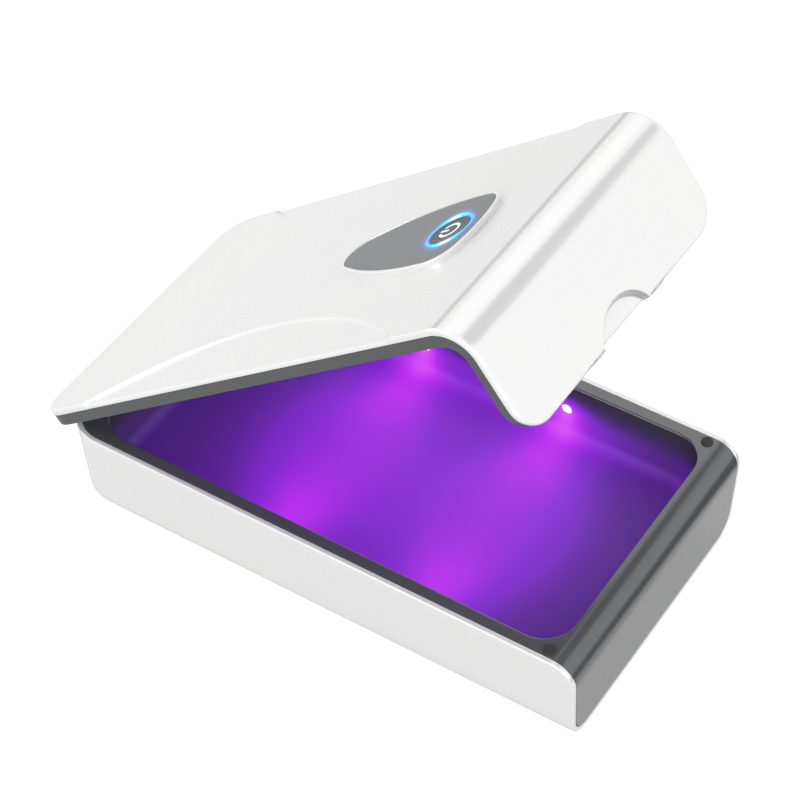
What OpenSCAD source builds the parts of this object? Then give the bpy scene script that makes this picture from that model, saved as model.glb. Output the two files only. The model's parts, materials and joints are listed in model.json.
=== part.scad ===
// Ultraviolet cleaning box for a phone: a drafted white housing with a grey inner tub,
// a hinged L-shaped lid with a control island, and one lit power button.
// Front is -Y, the hinge runs along X at the back, +Z is up, z = 0 is the table.

/* [Base housing] */
// Width of the base across its top edge
base_w = 120; // [100:1:150]
// Length of the base from the front face to the back edge
base_l = 208; // [180:1:250]
// Height of the base from its underside to the rim
base_h = 39; // [36:0.5:48]
// Wall of the white housing
shell_wall = 2; // [1.6:0.1:2.6]
// How far each side leans in from the rim to the underside
side_lean = 3.3; // [0:0.1:4]
// Radius of the long lower edges
foot_edge_r = 10; // [6:0.5:11]
// Radius of the two back corners seen from above
plan_r = 15; // [13:0.5:20]
// Radius where the rim rolls over into the front face
front_bend_r = 9.5; // [5:0.5:9.5]
// Gap at the seam between the housing and the tub
seam_gap = 0.1; // [0.05:0.05:0.3]

/* [Chamber] */
// Width of the rim along the sides
rim_side = 6.8; // [6:0.1:10]
// Width of the rim along the front
rim_front = 10; // [10:0.1:16]
// Width of the rim along the back
rim_back = 11; // [11:0.1:18]
// Depth of the chamber below the rim
chamber_depth = 21.3; // [19:0.1:23]
// Corner radius of the chamber at the rim
chamber_r = 12; // [8:0.5:18]
// How far the chamber walls lean in from the rim to the floor
chamber_lean = 2.6; // [1:0.1:4]
// Wall of the tub
tub_wall = 1.8; // [1.4:0.1:2.4]
// Thickness of the rim and of the front face
rim_t = 2; // [1.6:0.1:3]
// Bevel along the inner edge of the rim
rim_bevel = 0.8; // [0.3:0.1:1]

/* [Ultraviolet lights] */
// Depth of the lights below the rim
light_drop = 11; // [9:0.5:13]
// Distance from the front face to the front pair of lights
light_front = 66; // [50:1:80]
// Distance between the front and the back pair of lights
light_pitch = 60; // [40:1:80]
// Clear width of a light opening
light_mouth_d = 4.2; // [3:0.1:4.4]
// Width of a light window
window_d = 4.9; // [4.6:0.1:6]
// Thickness of a light window
window_t = 0.8; // [0.5:0.1:1]
// Side of a light emitter
emitter_side = 3.4; // [2.4:0.1:3.6]
// Height of a light emitter
emitter_t = 1.3; // [1:0.1:1.6]
// Thickness of the light strips
light_board_t = 1; // [0.8:0.1:1.2]
// Height of the light strips
light_board_h = 10; // [8:0.5:12]

/* [Lid] */
// Length of the lid from its back edge to the front of the apron
lid_l = 216; // [190:1:260]
// Gap between the closed lid and the rim
lid_gap = 0.8; // [0.6:0.1:1.5]
// Thickness of the white lid shell on top
lid_shell_t = 2.4; // [2:0.1:3]
// Thickness of the white lid shell on the apron
apron_shell_t = 2; // [1.6:0.1:2.6]
// Depth of the grey liner under the top
liner_t = 4.6; // [4.4:0.1:6]
// Depth of the grey liner behind the apron
apron_liner_t = 3.5; // [3.3:0.1:4]
// Thickness of the liner's inner sheet
liner_sheet = 1.6; // [1.2:0.1:1.8]
// Thickness of the liner's side walls
liner_side = 2.5; // [2:0.1:4]
// Radius of the liner's lower back edge
liner_edge_r = 3.5; // [1:0.1:4]
// Height of the apron from the lid top to its lower edge
apron_h = 44.1; // [40:0.1:46]
// Outer radius of the bend between the top and the apron
lid_bend_r = 14; // [10:0.5:18]
// Radius of the back corners of the lid
lid_corner_r = 12; // [8:0.5:18]
// Radius of the lower corners of the apron
apron_corner_r = 12; // [6:0.5:16]
// Depth of the lower side fields on the lid top
field_drop = 0.8; // [0.3:0.1:1.1]
// Where the side fields begin, from the back edge
field_start = 26.5; // [20:0.5:40]
// Length of each side field along the edge
field_l = 160; // [120:1:165]
// How far each side field reaches in from the edge
field_reach = 26.7; // [15:0.1:32]
// Width of the finger scoop on the apron's lower edge
scoop_w = 30; // [20:0.5:40]
// Height of the finger scoop
scoop_h = 9.7; // [7:0.1:14]
// Depth of the finger scoop
scoop_depth = 2.6; // [1.5:0.1:2.7]
// Wall behind the finger scoop
scoop_wall = 1; // [0.8:0.1:1.1]

/* [Hinge] */
// Angle of the lid at rest, from closed
open_angle = 38; // [20:1:60]
// Distance of the hinge axis below the rim
hinge_drop = 7.5; // [7:0.1:9]
// Distance of the hinge axis in from the back edge
hinge_inset = 5.6; // [5.5:0.1:6]
// Lid overhang behind the base when closed
lid_overhang = 1.5; // [0.5:0.1:2]
// Distance of each hinge from the middle
hinge_x = 34; // [25:0.5:38]
// Width of a lid knuckle
knuckle_w = 16; // [10:0.5:18]
// Radius of a lid knuckle
knuckle_r = 3.2; // [2.8:0.1:3.4]
// Width of the base ears beside each knuckle
ear_w = 4; // [3:0.5:6]
// Diameter of a hinge pin
pin_d = 2.5; // [1.8:0.1:3]
// Running clearance around a hinge pin
pin_clear = 0.05; // [0.03:0.01:0.09]
// Side clearance of a knuckle in its slot
knuckle_clear = 0.4; // [0.3:0.1:0.6]
// Thickness of a friction washer
washer_t = 0.7; // [0.4:0.1:1]

/* [Control island] */
// Distance from the back edge of the lid to the middle of the button
button_back = 168.7; // [150:0.5:172]
// Height of the island above the lid top
island_h = 2.4; // [1.8:0.1:3]
// White border around the control panel
island_rim = 1.2; // [0.8:0.1:2]
// Radius of the island's corners, to the panel's edge
island_r = 9.5; // [7:0.5:10]
// Radius of the panel's long sides
island_side_r = 93; // [60:1:150]
// Radius of the panel's front side
island_front_r = 49; // [35:1:100]
// Half the distance between the front corner centres
island_half = 9.7; // [9:0.1:14]
// Distance from the front corner centres back to the tip centre
island_len = 41.1; // [30:0.1:48]
// Distance from the button to the front corner centres
island_front = 2.3; // [1:0.1:4]
// Depth of the panel below the island's border
panel_sink = 0.3; // [0.1:0.1:0.5]
// Thickness of the control panel
panel_t = 1.2; // [0.8:0.1:1.6]
// Clearance around the control panel
panel_clear = 0.1; // [0.05:0.05:0.3]
// Diameter of the power button
button_d = 15.4; // [12:0.1:16]
// Clearance around the power button
button_clear = 0.15; // [0.1:0.05:0.3]
// Width of the light ring
ring_w = 1.5; // [1:0.1:2]
// Travel of the power button
button_travel = 0.5; // [0.3:0.1:0.6]
// Outer diameter of the power symbol
symbol_d = 8; // [6:0.1:10]
// Line width of the power symbol
symbol_line = 0.8; // [0.5:0.1:1.2]

/* [Electronics] */
// Length of the main board
board_l = 56; // [40:1:60]
// Width of the main board
board_w = 60; // [44:1:66]
// Thickness of the main board
board_t = 1.6; // [1:0.1:2]
// Height of the main board's underside above the base's underside
board_lift = 9.4; // [8.8:0.1:10.5]
// Width of the power socket
socket_w = 9; // [8:0.1:10]
// Height of the power socket
socket_h = 3.2; // [2.8:0.1:3.6]
// Length of the power socket
socket_l = 7.4; // [6.5:0.1:9]
// Side of the square button board
button_board_side = 26; // [23:0.5:28]
// Thickness of the button board
button_board_t = 1; // [0.8:0.1:1.2]
// Diameter of the lid magnets
magnet_d = 8; // [5:0.5:10]
// Thickness of the lid magnets
magnet_t = 1.5; // [1:0.1:1.7]
// Distance of each lid magnet from the middle
magnet_x = 38; // [30:0.5:42]
// Height of the lid magnets above the apron's lower edge
magnet_up = 12; // [9:0.5:20]
// Thickness of the ribbon leads
ribbon_t = 0.4; // [0.3:0.1:0.6]
// Width of the ribbon leads
ribbon_w = 6; // [4:0.5:8]

/* [Feet, stops and screws] */
// Diameter of a foot
foot_d = 10; // [8:0.5:12]
// How far a foot stands out below the base
foot_out = 0.8; // [0.5:0.1:1.5]
// Depth of a foot's recess
foot_recess = 0.8; // [0.5:0.1:1]
// Distance of the feet from the middle
foot_x = 40; // [34:0.5:41]
// Distance of the feet from the front and back faces
foot_end = 24; // [22:0.5:34]
// Diameter of a rubber stop on the rim
stop_d = 4.3; // [3:0.1:5]
// Height of a rubber stop above the rim
stop_h = 0.7; // [0.4:0.1:0.7]
// Distance of the stops in from the sides
stop_side = 5; // [4.8:0.1:6]
// Distance of the stops in from the front face
stop_front = 11.8; // [10.5:0.1:16]
// Thread diameter of the housing screws
housing_screw_d = 2.6; // [2:0.1:3]
// Head diameter of the housing screws
housing_head_d = 5; // [4:0.1:5.5]
// Thread diameter of the small screws
small_screw_d = 2; // [1.6:0.1:2.4]
// Head diameter of the small screws
small_head_d = 3.6; // [3:0.1:4]

/* [Hidden] */

$fn = 96;
cut = 1;              // how far a cutter runs past what it cuts
leaf = 0.01;          // overlap that joins two pieces of one solid

shell_white = [0.94, 0.94, 0.94];
liner_grey = [0.38, 0.39, 0.40];
panel_grey = [0.55, 0.56, 0.57];
black = [0.13, 0.13, 0.14];
board_green = [0.10, 0.36, 0.22];
steel = [0.72, 0.73, 0.75];
glow_blue = [0.25, 0.70, 1.00];
glow_violet = [0.62, 0.30, 0.95];

// Heights
under_z = foot_out;                             // underside of the base
rim_z = under_z + base_h;                       // top of the rim
floor_z = rim_z - chamber_depth;                // chamber floor
lid_under_z = rim_z + lid_gap;                  // underside of the closed lid
lid_top_z = lid_under_z + liner_t + lid_shell_t;
hinge_z = rim_z - hinge_drop;
light_z = rim_z - light_drop;

// Places along Y, counted from the middle of the base and moved so that the whole
// object, with its lid at rest, is centred on the origin
back_from_axis = hinge_inset + lid_overhang;
top_from_axis = lid_top_z - hinge_z;
lid_rear = base_l / 2 - hinge_inset + back_from_axis * cos(open_angle) + top_from_axis * sin(open_angle);
centre_shift = (base_l / 2 - lid_rear) / 2;
front_y = -base_l / 2 + centre_shift;
back_y = base_l / 2 + centre_shift;
hinge_y = back_y - hinge_inset;
lid_back_y = back_y + lid_overhang;             // lid edges in the closed pose
lid_front_y = lid_back_y - lid_l;
apron_z = lid_top_z - apron_h;                  // lower edge of the closed apron

// Chamber
chamber_half = base_w / 2 - rim_side;
chamber_front_y = front_y + rim_front;
chamber_back_y = back_y - rim_back;

// Lights
light_y = [front_y + light_front, front_y + light_front + light_pitch];
light_lean = chamber_lean * light_drop / chamber_depth;
light_lip = 0.45;                               // lip in front of a window
window_x = chamber_half - light_lean + light_lip;
emitter_gap = 0.2;                              // air between a window and its emitter
seat_x = window_x + window_t + emitter_gap + emitter_t;
light_boss_d = window_d + 4;
light_board_over = 11;                          // strip length past each light

// Hinge
slot_half = knuckle_w / 2 + knuckle_clear + washer_t;
slot_front = knuckle_r + knuckle_clear;         // slot reach before and below the axis
web_back = knuckle_r - 0.6;                     // the web is slimmer behind the axis
ear_r = knuckle_r + 0.8;
pin_l = 2 * (slot_half + ear_w) - 1;

// Island and button, in the closed pose
button_y = lid_back_y - button_back;
island_top_z = lid_top_z + island_h;
panel_top_z = island_top_z - panel_sink;
panel_under_z = panel_top_z - panel_t;
ring_d = button_d + 2 * button_clear + 2 * ring_w;
ring_flange = 1.4;                              // ring flange past the panel's hole
ring_flange_t = 0.8;
shell_under_z = lid_top_z - lid_shell_t;
sheet_top_z = lid_under_z + liner_sheet;        // upper face of the liner's sheet
post_h = 1.1;                                   // posts that carry the button board
button_board_z = shell_under_z - post_h;        // upper face of the button board
switch_side = 6;
switch_h = 1.7;
plunger_d = 3;
plunger_h = 0.9;
plunger_top_z = button_board_z + switch_h + plunger_h;
skirt_t = 0.6;                                  // flange that keeps the button in
skirt_z = panel_under_z - ring_flange_t - 0.2 - skirt_t;
ring_led = [2.8, 1.4, 0.9];
board_post_x = button_board_side / 2 - 2.5;

// Boards and screws
board_z = under_z + board_lift;
board_back_y = back_y - shell_wall - side_lean - 1;
board_front_y = board_back_y - board_l;
board_mid_y = board_back_y - board_l / 2;
board_hole_x = board_w / 2 - 4;
board_hole_y = [board_front_y + 4, chamber_back_y - chamber_lean - 4];
socket_z = board_z + board_t + socket_h / 2;
socket_y = back_y - side_lean * (rim_z - socket_z) / base_h - 0.4;   // mouth of the power socket
foot_y = [front_y + foot_end, back_y - foot_end];
pillar_d = 7;
pillar_joint_z = under_z + shell_wall + 3;      // where the tub pillars meet the housing pillars
head_t = 1.6;
pilot_less = 0.5;                               // how much smaller a pilot hole is than its screw
pilot_spare = 0.5;                              // how much deeper a pilot hole is than its screw
deep_pilot = 2;                                 // the same for the long housing screws
housing_screw_bite = 6;
board_screw_bite = 4;
lid_screw_bite = 3;
button_screw_bite = 2;
hole_more = 0.4;                                // how much larger a clearance hole is
screw_seat_z = under_z + foot_recess + 0.4;     // roof of the space over a foot
lid_screw_x = base_w / 2 - 9;
lid_screw_y = [lid_back_y - 19, lid_back_y - 105, lid_front_y + 26];
small_head_t = 0.9;

catch_t = 1;
catch_w = 12;
catch_h = 14;
catch_z = apron_z + magnet_up;
sensor_w = 14;
sensor_h = 10;
ribbon_y = light_y[1] + light_boss_d / 2 - 1;
ribbon_cross_y = min(ribbon_y, board_front_y - ribbon_w - 0.5);  // in front of the board's pillars
ribbon_end_x = board_w / 2 - 16;

// ---- helpers ----

// Unit vector from p to q
function toward(p, q) = (q - p) / norm(q - p);
// Half the angle between the edges that meet at q
function half_angle(p, q, r) = acos(max(-1, min(1, toward(q, p) * toward(q, r)))) / 2;
// Centre of the fillet at q between the edges to p and r
function fillet_centre(p, q, r, rad) =
    let (bis = toward([0, 0], toward(q, p) + toward(q, r)))
    q + bis * rad / sin(half_angle(p, q, r));
// Where that fillet leaves each edge
function fillet_ends(p, q, r, rad) =
    let (run = rad / tan(half_angle(p, q, r)))
    [q + toward(q, p) * run, q + toward(q, r) * run];

// A convex outline with a radius at each corner, exact arcs throughout
module rounded_outline(pts, radii) {
    n = len(pts);
    polygon([for (i = [0 : n - 1])
        each radii[i] > 0
            ? fillet_ends(pts[(i + n - 1) % n], pts[i], pts[(i + 1) % n], radii[i])
            : [pts[i]]]);
    for (i = [0 : n - 1])
        if (radii[i] > 0)
            translate(fillet_centre(pts[(i + n - 1) % n], pts[i], pts[(i + 1) % n], radii[i]))
                circle(r = radii[i]);
}

// A flat shape drawn in Y and Z, drawn out along X about the middle
module along_x(len) {
    translate([-len / 2, 0, 0]) rotate([90, 0, 90]) linear_extrude(len) children();
}

// A flat shape drawn in X and Z, drawn out along Y from y0 to y1
module along_y(y0, y1) {
    translate([0, y1, 0]) rotate([90, 0, 0]) linear_extrude(y1 - y0) children();
}

// Puts the children at both signs of x
module both_sides() {
    children();
    mirror([1, 0, 0]) children();
}

// A rod along X from x0 to x1
module rod_x(x0, x1, d) {
    translate([x0, 0, 0]) rotate([0, 90, 0]) cylinder(h = x1 - x0, d = d);
}

// A rod along Y from y0 to y1
module rod_y(y0, y1, d) {
    translate([0, y1, 0]) rotate([90, 0, 0]) cylinder(h = y1 - y0, d = d);
}

// Turns a piece of the closed lid to the rest angle
module lid_pose() {
    translate([0, hinge_y, hinge_z])
        rotate([-open_angle, 0, 0])
            translate([0, -hinge_y, -hinge_z])
                children();
}

// ---- base form ----

// Section of a base wall, from a line 'reach' inside the rim's edge, t inside the surface,
// drawn up past the rim by 'over'
module wall_section(reach, t, over) {
    lean = side_lean / base_h;
    intersection() {
        rounded_outline([
            [0, under_z + t],
            [reach - side_lean - t + lean * t, under_z + t],
            [reach - t + lean * over, rim_z + over],
            [0, rim_z + over]],
            [0, foot_edge_r - t, 0, 0]);
        translate([0, under_z - cut]) square([reach + cut, base_h + over + 2 * cut]);
    }
}

// The base's outer form, t inside its surface, with a straight open front: drafted sides
// and a drafted back, both rounded below, and round back corners
module base_form(t, over) {
    lean = side_lean / base_h;
    z0 = under_z + t;
    z1 = rim_z + over;
    low = t + lean * (rim_z - z0);
    high = t - lean * over;
    half = base_w / 2;
    mid_y = back_y - plan_r;
    side_x = half - plan_r;
    intersection() {
        union() {
            along_y(front_y - over, mid_y)
                polygon([[low - half, z0], [half - low, z0], [half - high, z1], [high - half, z1]]);
            along_x(2 * side_x)
                polygon([[mid_y - cut, z0], [back_y - low, z0], [back_y - high, z1], [mid_y - cut, z1]]);
            both_sides()
                translate([side_x, mid_y, z0])
                    cylinder(h = z1 - z0, r1 = plan_r - low, r2 = plan_r - high);
        }
        along_y(front_y - over, back_y) {
            wall_section(half, t, over);
            mirror([1, 0]) wall_section(half, t, over);
        }
        translate([0, back_y - base_l - over, 0])
            along_x(base_w)
                wall_section(base_l + over, t, over);
    }
}

// Side view that gives the rolled front edge and the back edge that clears the turning
// lid, t inside the surface
module side_view(t) {
    r = max(front_bend_r - t, 0.5);
    intersection() {
        rounded_outline([
            [front_y + t, under_z - cut],
            [back_y + cut, under_z - cut],
            [back_y + cut, rim_z - t],
            [front_y + t, rim_z - t]],
            [0, 0, 0, r]);
        union() {
            translate([hinge_y, hinge_z]) circle(r = hinge_drop - t);
            translate([front_y - cut, under_z - 2 * cut])
                square([hinge_y - front_y + cut, base_h + 3 * cut]);
            translate([front_y - cut, under_z - 2 * cut])
                square([base_l + 2 * cut, hinge_z - under_z + 2 * cut]);
        }
    }
}

// The chamber as a solid, with walls t further out, from z0 up
module chamber_form(t, z0, z1) {
    slope = chamber_lean / chamber_depth;
    low = slope * (rim_z - z0);
    high = slope * (rim_z - z1);
    half = chamber_half + t;
    mid_y = (chamber_front_y + chamber_back_y) / 2;
    half_l = (chamber_back_y - chamber_front_y) / 2 + t;
    r = chamber_r + t;
    translate([0, mid_y, 0]) {
        along_y(r - half_l, half_l - r)
            polygon([[low - half, z0], [half - low, z0], [half - high, z1], [high - half, z1]]);
        rotate([0, 0, 90])
            along_y(r - half, half - r)
                polygon([[low - half_l, z0], [half_l - low, z0], [half_l - high, z1], [high - half_l, z1]]);
        for (sx = [-1, 1], sy = [-1, 1])
            translate([sx * (half - r), sy * (half_l - r), z0])
                cylinder(h = z1 - z0, r1 = r - low, r2 = r - high);
    }
}

// Room around one hinge knuckle, open upwards and backwards
module hinge_slot() {
    translate([hinge_x - slot_half, hinge_y - slot_front, hinge_z - slot_front])
        cube([2 * slot_half, slot_front + hinge_inset + cut, hinge_drop + slot_front + cut]);
}

// ---- base pieces ----

module base_shell() {
    color(shell_white)
    difference() {
        union() {
            difference() {
                intersection() {
                    base_form(0, 0);
                    along_x(base_w + 2 * cut) side_view(0);
                }
                base_form(shell_wall, cut);
            }
            for (y = foot_y)
                both_sides()
                    translate([foot_x, y, under_z + foot_recess + leaf])
                        cylinder(h = pillar_joint_z - under_z - foot_recess - leaf, d = foot_d + 1);
        }
        for (y = foot_y)
            both_sides()
                translate([foot_x, y, 0]) {
                    translate([0, 0, under_z - cut])
                        cylinder(h = foot_recess + cut, d = foot_d + 0.2);
                    translate([0, 0, under_z])
                        cylinder(h = screw_seat_z + head_t - under_z, d = housing_head_d + hole_more);
                    translate([0, 0, under_z])
                        cylinder(h = base_h / 2, d = housing_screw_d + hole_more);
                }
        both_sides() hinge_slot();
        translate([0, socket_y, socket_z])
            rotate([90, 0, 0])
                socket_outline(0.3, 4 * shell_wall, 2 * shell_wall);
    }
}

// A solid with round ends, as wide and high as the power socket plus a gap all round
module socket_outline(gap, depth, lift) {
    translate([0, 0, -lift])
        linear_extrude(depth)
            for (s = [-1, 1]) {
                translate([s * (socket_w - socket_h) / 2, 0]) circle(d = socket_h + 2 * gap);
                square([socket_w - socket_h, socket_h + 2 * gap], center = true);
            }
}

module inner_tub() {
    t = shell_wall + seam_gap;
    pillar_top = floor_z - tub_wall + leaf;
    color(liner_grey)
    difference() {
        union() {
            // rim and front face as one rolled skin
            intersection() {
                base_form(t, 0);
                along_x(base_w) difference() {
                    side_view(0);
                    side_view(rim_t);
                }
            }
            chamber_form(tub_wall, floor_z - tub_wall, rim_z - rim_t / 2);
            // seats of the light windows
            for (y = light_y)
                both_sides()
                    translate([0, y, light_z])
                        rod_x(chamber_half - light_lean, seat_x, light_boss_d);
            // ears that hold the hinge pins
            intersection() {
                both_sides()
                    for (s = [-1, 1])
                        translate([hinge_x + s * (slot_half + ear_w / 2), 0, 0])
                            along_x(ear_w) {
                                translate([hinge_y, hinge_z]) circle(r = ear_r);
                                translate([chamber_back_y, hinge_z - ear_r])
                                    square([hinge_y - chamber_back_y, ear_r + hinge_drop - rim_t / 2]);
                                translate([hinge_y - leaf, hinge_z])
                                    square([ear_r + leaf, hinge_drop - 1.4 * rim_t]);
                            }
                base_form(t, 0);
            }
            // pillars for the housing screws
            for (y = foot_y)
                both_sides()
                    translate([foot_x, y, pillar_joint_z])
                        cylinder(h = pillar_top - pillar_joint_z, d = pillar_d);
            // pillars for the main board
            for (y = board_hole_y)
                both_sides()
                    translate([board_hole_x, y, board_z + board_t])
                        cylinder(h = pillar_top - board_z - board_t, d = 5);
        }
        chamber_form(0, floor_z, rim_z + cut);
        // bevel round the chamber's mouth
        mouth_bevel();
        // light openings
        for (y = light_y)
            both_sides()
                translate([0, y, light_z]) {
                    rod_x(chamber_half - chamber_lean - cut, seat_x, light_mouth_d);
                    rod_x(window_x, seat_x + cut, window_d + 0.1);
                }
        both_sides() hinge_slot();
        both_sides()
            translate([hinge_x, hinge_y, hinge_z])
                rod_x(-slot_half - ear_w - cut, slot_half + ear_w + cut, pin_d + 2 * pin_clear);
        // pilot holes
        for (y = foot_y)
            both_sides()
                translate([foot_x, y, pillar_joint_z - cut])
                    cylinder(h = housing_screw_bite + deep_pilot + cut, d = housing_screw_d - pilot_less);
        for (y = board_hole_y)
            both_sides()
                translate([board_hole_x, y, board_z])
                    cylinder(h = board_t + board_screw_bite + pilot_spare, d = small_screw_d - pilot_less);
        // sockets of the rubber stops
        both_sides()
            translate([base_w / 2 - stop_side, front_y + stop_front, rim_z - rim_t - cut])
                cylinder(h = rim_t + 2 * cut, d = stop_d / 2 + 0.1);
    }
}

// Cutter that bevels the mouth of the chamber
module mouth_bevel() {
    mid_y = (chamber_front_y + chamber_back_y) / 2;
    half = chamber_half - 2 * rim_bevel;
    half_l = (chamber_back_y - chamber_front_y) / 2 - 2 * rim_bevel;
    r = chamber_r - 2 * rim_bevel;
    z0 = rim_z - 3 * rim_bevel;
    reach = 3 * rim_bevel + cut;
    translate([0, mid_y, 0]) {
        along_y(r - half_l, half_l - r)
            polygon([[-half, z0], [half, z0], [half + reach, z0 + reach], [-half - reach, z0 + reach]]);
        rotate([0, 0, 90])
            along_y(r - half, half - r)
                polygon([[-half_l, z0], [half_l, z0],
                         [half_l + reach, z0 + reach], [-half_l - reach, z0 + reach]]);
        for (sx = [-1, 1], sy = [-1, 1])
            translate([sx * (half - r), sy * (half_l - r), z0])
                cylinder(h = reach, r1 = r, r2 = r + reach);
    }
}

module rim_stop(side) {
    color(black)
    translate([side * (base_w / 2 - stop_side), front_y + stop_front, 0]) {
        translate([0, 0, rim_z]) cylinder(h = stop_h, d1 = stop_d, d2 = stop_d - 0.5);
        translate([0, 0, rim_z - rim_t]) cylinder(h = rim_t + leaf, d = stop_d / 2);
        translate([0, 0, rim_z - rim_t - 0.6]) cylinder(h = 0.6, d = stop_d / 2 + 0.9);
    }
}

module foot(side, y) {
    color(black)
    translate([side * foot_x, y, 0])
        cylinder(h = foot_out + foot_recess, d = foot_d);
}

module housing_screws() {
    color(steel)
    for (y = foot_y)
        both_sides()
            translate([foot_x, y, screw_seat_z]) {
                difference() {
                    cylinder(h = head_t, d = housing_head_d);
                    translate([0, 0, -cut]) cylinder(h = cut + head_t / 2, d = 2.2, $fn = 6);
                }
                cylinder(h = pillar_joint_z - screw_seat_z + housing_screw_bite,
                         d = housing_screw_d - pilot_less);
            }
}

module main_board() {
    color(board_green)
    difference() {
        translate([-board_w / 2, board_front_y, board_z])
            cube([board_w, board_l, board_t]);
        for (y = board_hole_y)
            both_sides()
                translate([board_hole_x, y, board_z - cut])
                    cylinder(h = board_t + 2 * cut, d = small_screw_d + hole_more);
    }
}

module board_screws() {
    color(steel)
    for (y = board_hole_y)
        both_sides()
            translate([board_hole_x, y, board_z]) {
                translate([0, 0, -small_head_t - 0.3]) cylinder(h = small_head_t + 0.3, d = small_head_d);
                translate([0, 0, -leaf])
                    cylinder(h = board_t + board_screw_bite + leaf, d = small_screw_d - pilot_less);
            }
}

module power_socket() {
    color(steel)
    translate([0, socket_y, socket_z])
        rotate([90, 0, 0])
            difference() {
                socket_outline(0, socket_l, 0);
                translate([0, 0, -cut]) socket_outline(-0.3, socket_l - 0.6 + cut, 0);
            }
}

module socket_tongue() {
    color(black)
    translate([-3.3, socket_y - socket_l + 0.6, socket_z - 0.35])
        cube([6.6, socket_l - 1.4, 0.7]);
}

module controller_chip() {
    color(black)
    translate([-14, board_mid_y - 8, board_z + board_t]) cube([9, 9, 1.4]);
}

module driver_coil() {
    color(liner_grey)
    translate([14, board_mid_y, board_z + board_t])
        difference() {
            cylinder(h = 3.2, d = 8);
            translate([0, 0, 2.4]) cylinder(h = cut, d = 3.2);
        }
}

module light_board(side) {
    color(board_green)
    translate([side > 0 ? seat_x : -seat_x - light_board_t,
               light_y[0] - light_board_over, light_z - light_board_h / 2])
        cube([light_board_t, light_pitch + 2 * light_board_over, light_board_h]);
}

module emitter(side, y) {
    color(glow_violet)
    translate([side * (seat_x - emitter_t / 2), y, light_z]) {
        translate([side * emitter_t / 4, 0, 0])
            cube([emitter_t / 2, emitter_side, emitter_side], center = true);
        mirror([side > 0 ? 1 : 0, 0, 0])
            rod_x(-leaf, emitter_t / 2, emitter_side - 0.6);
    }
}

module light_window(side, y) {
    color(glow_violet)
    translate([side > 0 ? window_x : -window_x - window_t, y, light_z])
        rod_x(0, window_t, window_d);
}

// Ribbon lead from a light strip down its inner face, then across and back to the main board
module light_ribbon(side) {
    top_z = light_z - light_board_h / 2 + 3;
    run_z = board_z + board_t;
    end_y = board_front_y + 6;
    color(shell_white)
    mirror([side > 0 ? 0 : 1, 0, 0]) {
        translate([seat_x - ribbon_t, ribbon_y, run_z]) cube([ribbon_t, ribbon_w, top_z - run_z]);
        translate([seat_x - ribbon_w, ribbon_cross_y, run_z])
            cube([ribbon_w, ribbon_y + ribbon_w - ribbon_cross_y, ribbon_t]);
        translate([ribbon_end_x, ribbon_cross_y, run_z])
            cube([seat_x - ribbon_end_x, ribbon_w, ribbon_t]);
        translate([ribbon_end_x, ribbon_cross_y, run_z])
            cube([ribbon_w, end_y - ribbon_cross_y, ribbon_t]);
    }
}

module lid_sensor_board() {
    color(board_green)
    translate([-sensor_w / 2, front_y + rim_t, catch_z - sensor_h / 2])
        cube([sensor_w, 1, sensor_h]);
}

module lid_sensor() {
    color(black)
    translate([-2, front_y + rim_t + 1, catch_z - 1.5]) cube([4, 1.1, 3]);
}

module catch_plate(side) {
    color(steel)
    translate([side * magnet_x - catch_w / 2, front_y + rim_t, catch_z - catch_h / 2])
        cube([catch_w, catch_t, catch_h]);
}

module hinge_pin(side) {
    color(steel)
    translate([side * hinge_x, hinge_y, hinge_z]) rod_x(-pin_l / 2, pin_l / 2, pin_d);
}

module friction_washer(side) {
    x0 = knuckle_w / 2 + knuckle_clear;
    color(steel)
    translate([side * hinge_x, hinge_y, hinge_z])
        mirror([side > 0 ? 0 : 1, 0, 0])
            difference() {
                rod_x(x0, x0 + washer_t, 2 * knuckle_r);
                rod_x(x0 - cut, x0 + washer_t + cut, pin_d + 2 * pin_clear);
            }
}

// ---- lid form, drawn closed ----

// Side view of everything under the lid's skin, set in by 'top' from above and 'front' from the apron
module lid_layer(top, front, r) {
    rounded_outline([
        [lid_front_y + front, apron_z - cut],
        [lid_back_y + cut, apron_z - cut],
        [lid_back_y + cut, lid_top_z - top],
        [lid_front_y + front, lid_top_z - top]],
        [0, 0, 0, r]);
}

// The lid's outline from above and from the front, drawn in by t
module lid_outline(t) {
    intersection() {
        translate([0, 0, apron_z - cut])
            linear_extrude(apron_h + 2 * cut)
                rounded_outline([
                    [-base_w / 2 + t, lid_front_y - cut],
                    [base_w / 2 - t, lid_front_y - cut],
                    [base_w / 2 - t, lid_back_y - t],
                    [-base_w / 2 + t, lid_back_y - t]],
                    [0, 0, lid_corner_r - t, lid_corner_r - t]);
        along_y(lid_front_y - cut, lid_back_y + cut)
            rounded_outline([
                [-base_w / 2 + t, apron_z + t],
                [base_w / 2 - t, apron_z + t],
                [base_w / 2 - t, lid_top_z + 2 * cut],
                [-base_w / 2 + t, lid_top_z + 2 * cut]],
                [apron_corner_r - t, apron_corner_r - t, 0, 0]);
    }
}

// A bent layer of the lid between two depths
module lid_sheet(top0, front0, r0, top1, front1, r1, inset) {
    intersection() {
        along_x(base_w + 2 * cut) difference() {
            lid_layer(top0, front0, r0);
            lid_layer(top1, front1, r1);
        }
        lid_outline(inset);
    }
}

shell_r = lid_bend_r - apron_shell_t;           // bend radius under the white shell
liner_inset = 0.2;                              // how far the liner stands inside the shell's edge
sheet_r = shell_r - apron_liner_t + liner_sheet;
under_r = shell_r - apron_liner_t;

// Points along an arc about c
function arc(c, r, a0, a1, n) = [for (i = [0 : n]) let (a = a0 + (a1 - a0) * i / n) c + r * [cos(a), sin(a)]];
function bearing(v) = atan2(v[1], v[0]);
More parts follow.
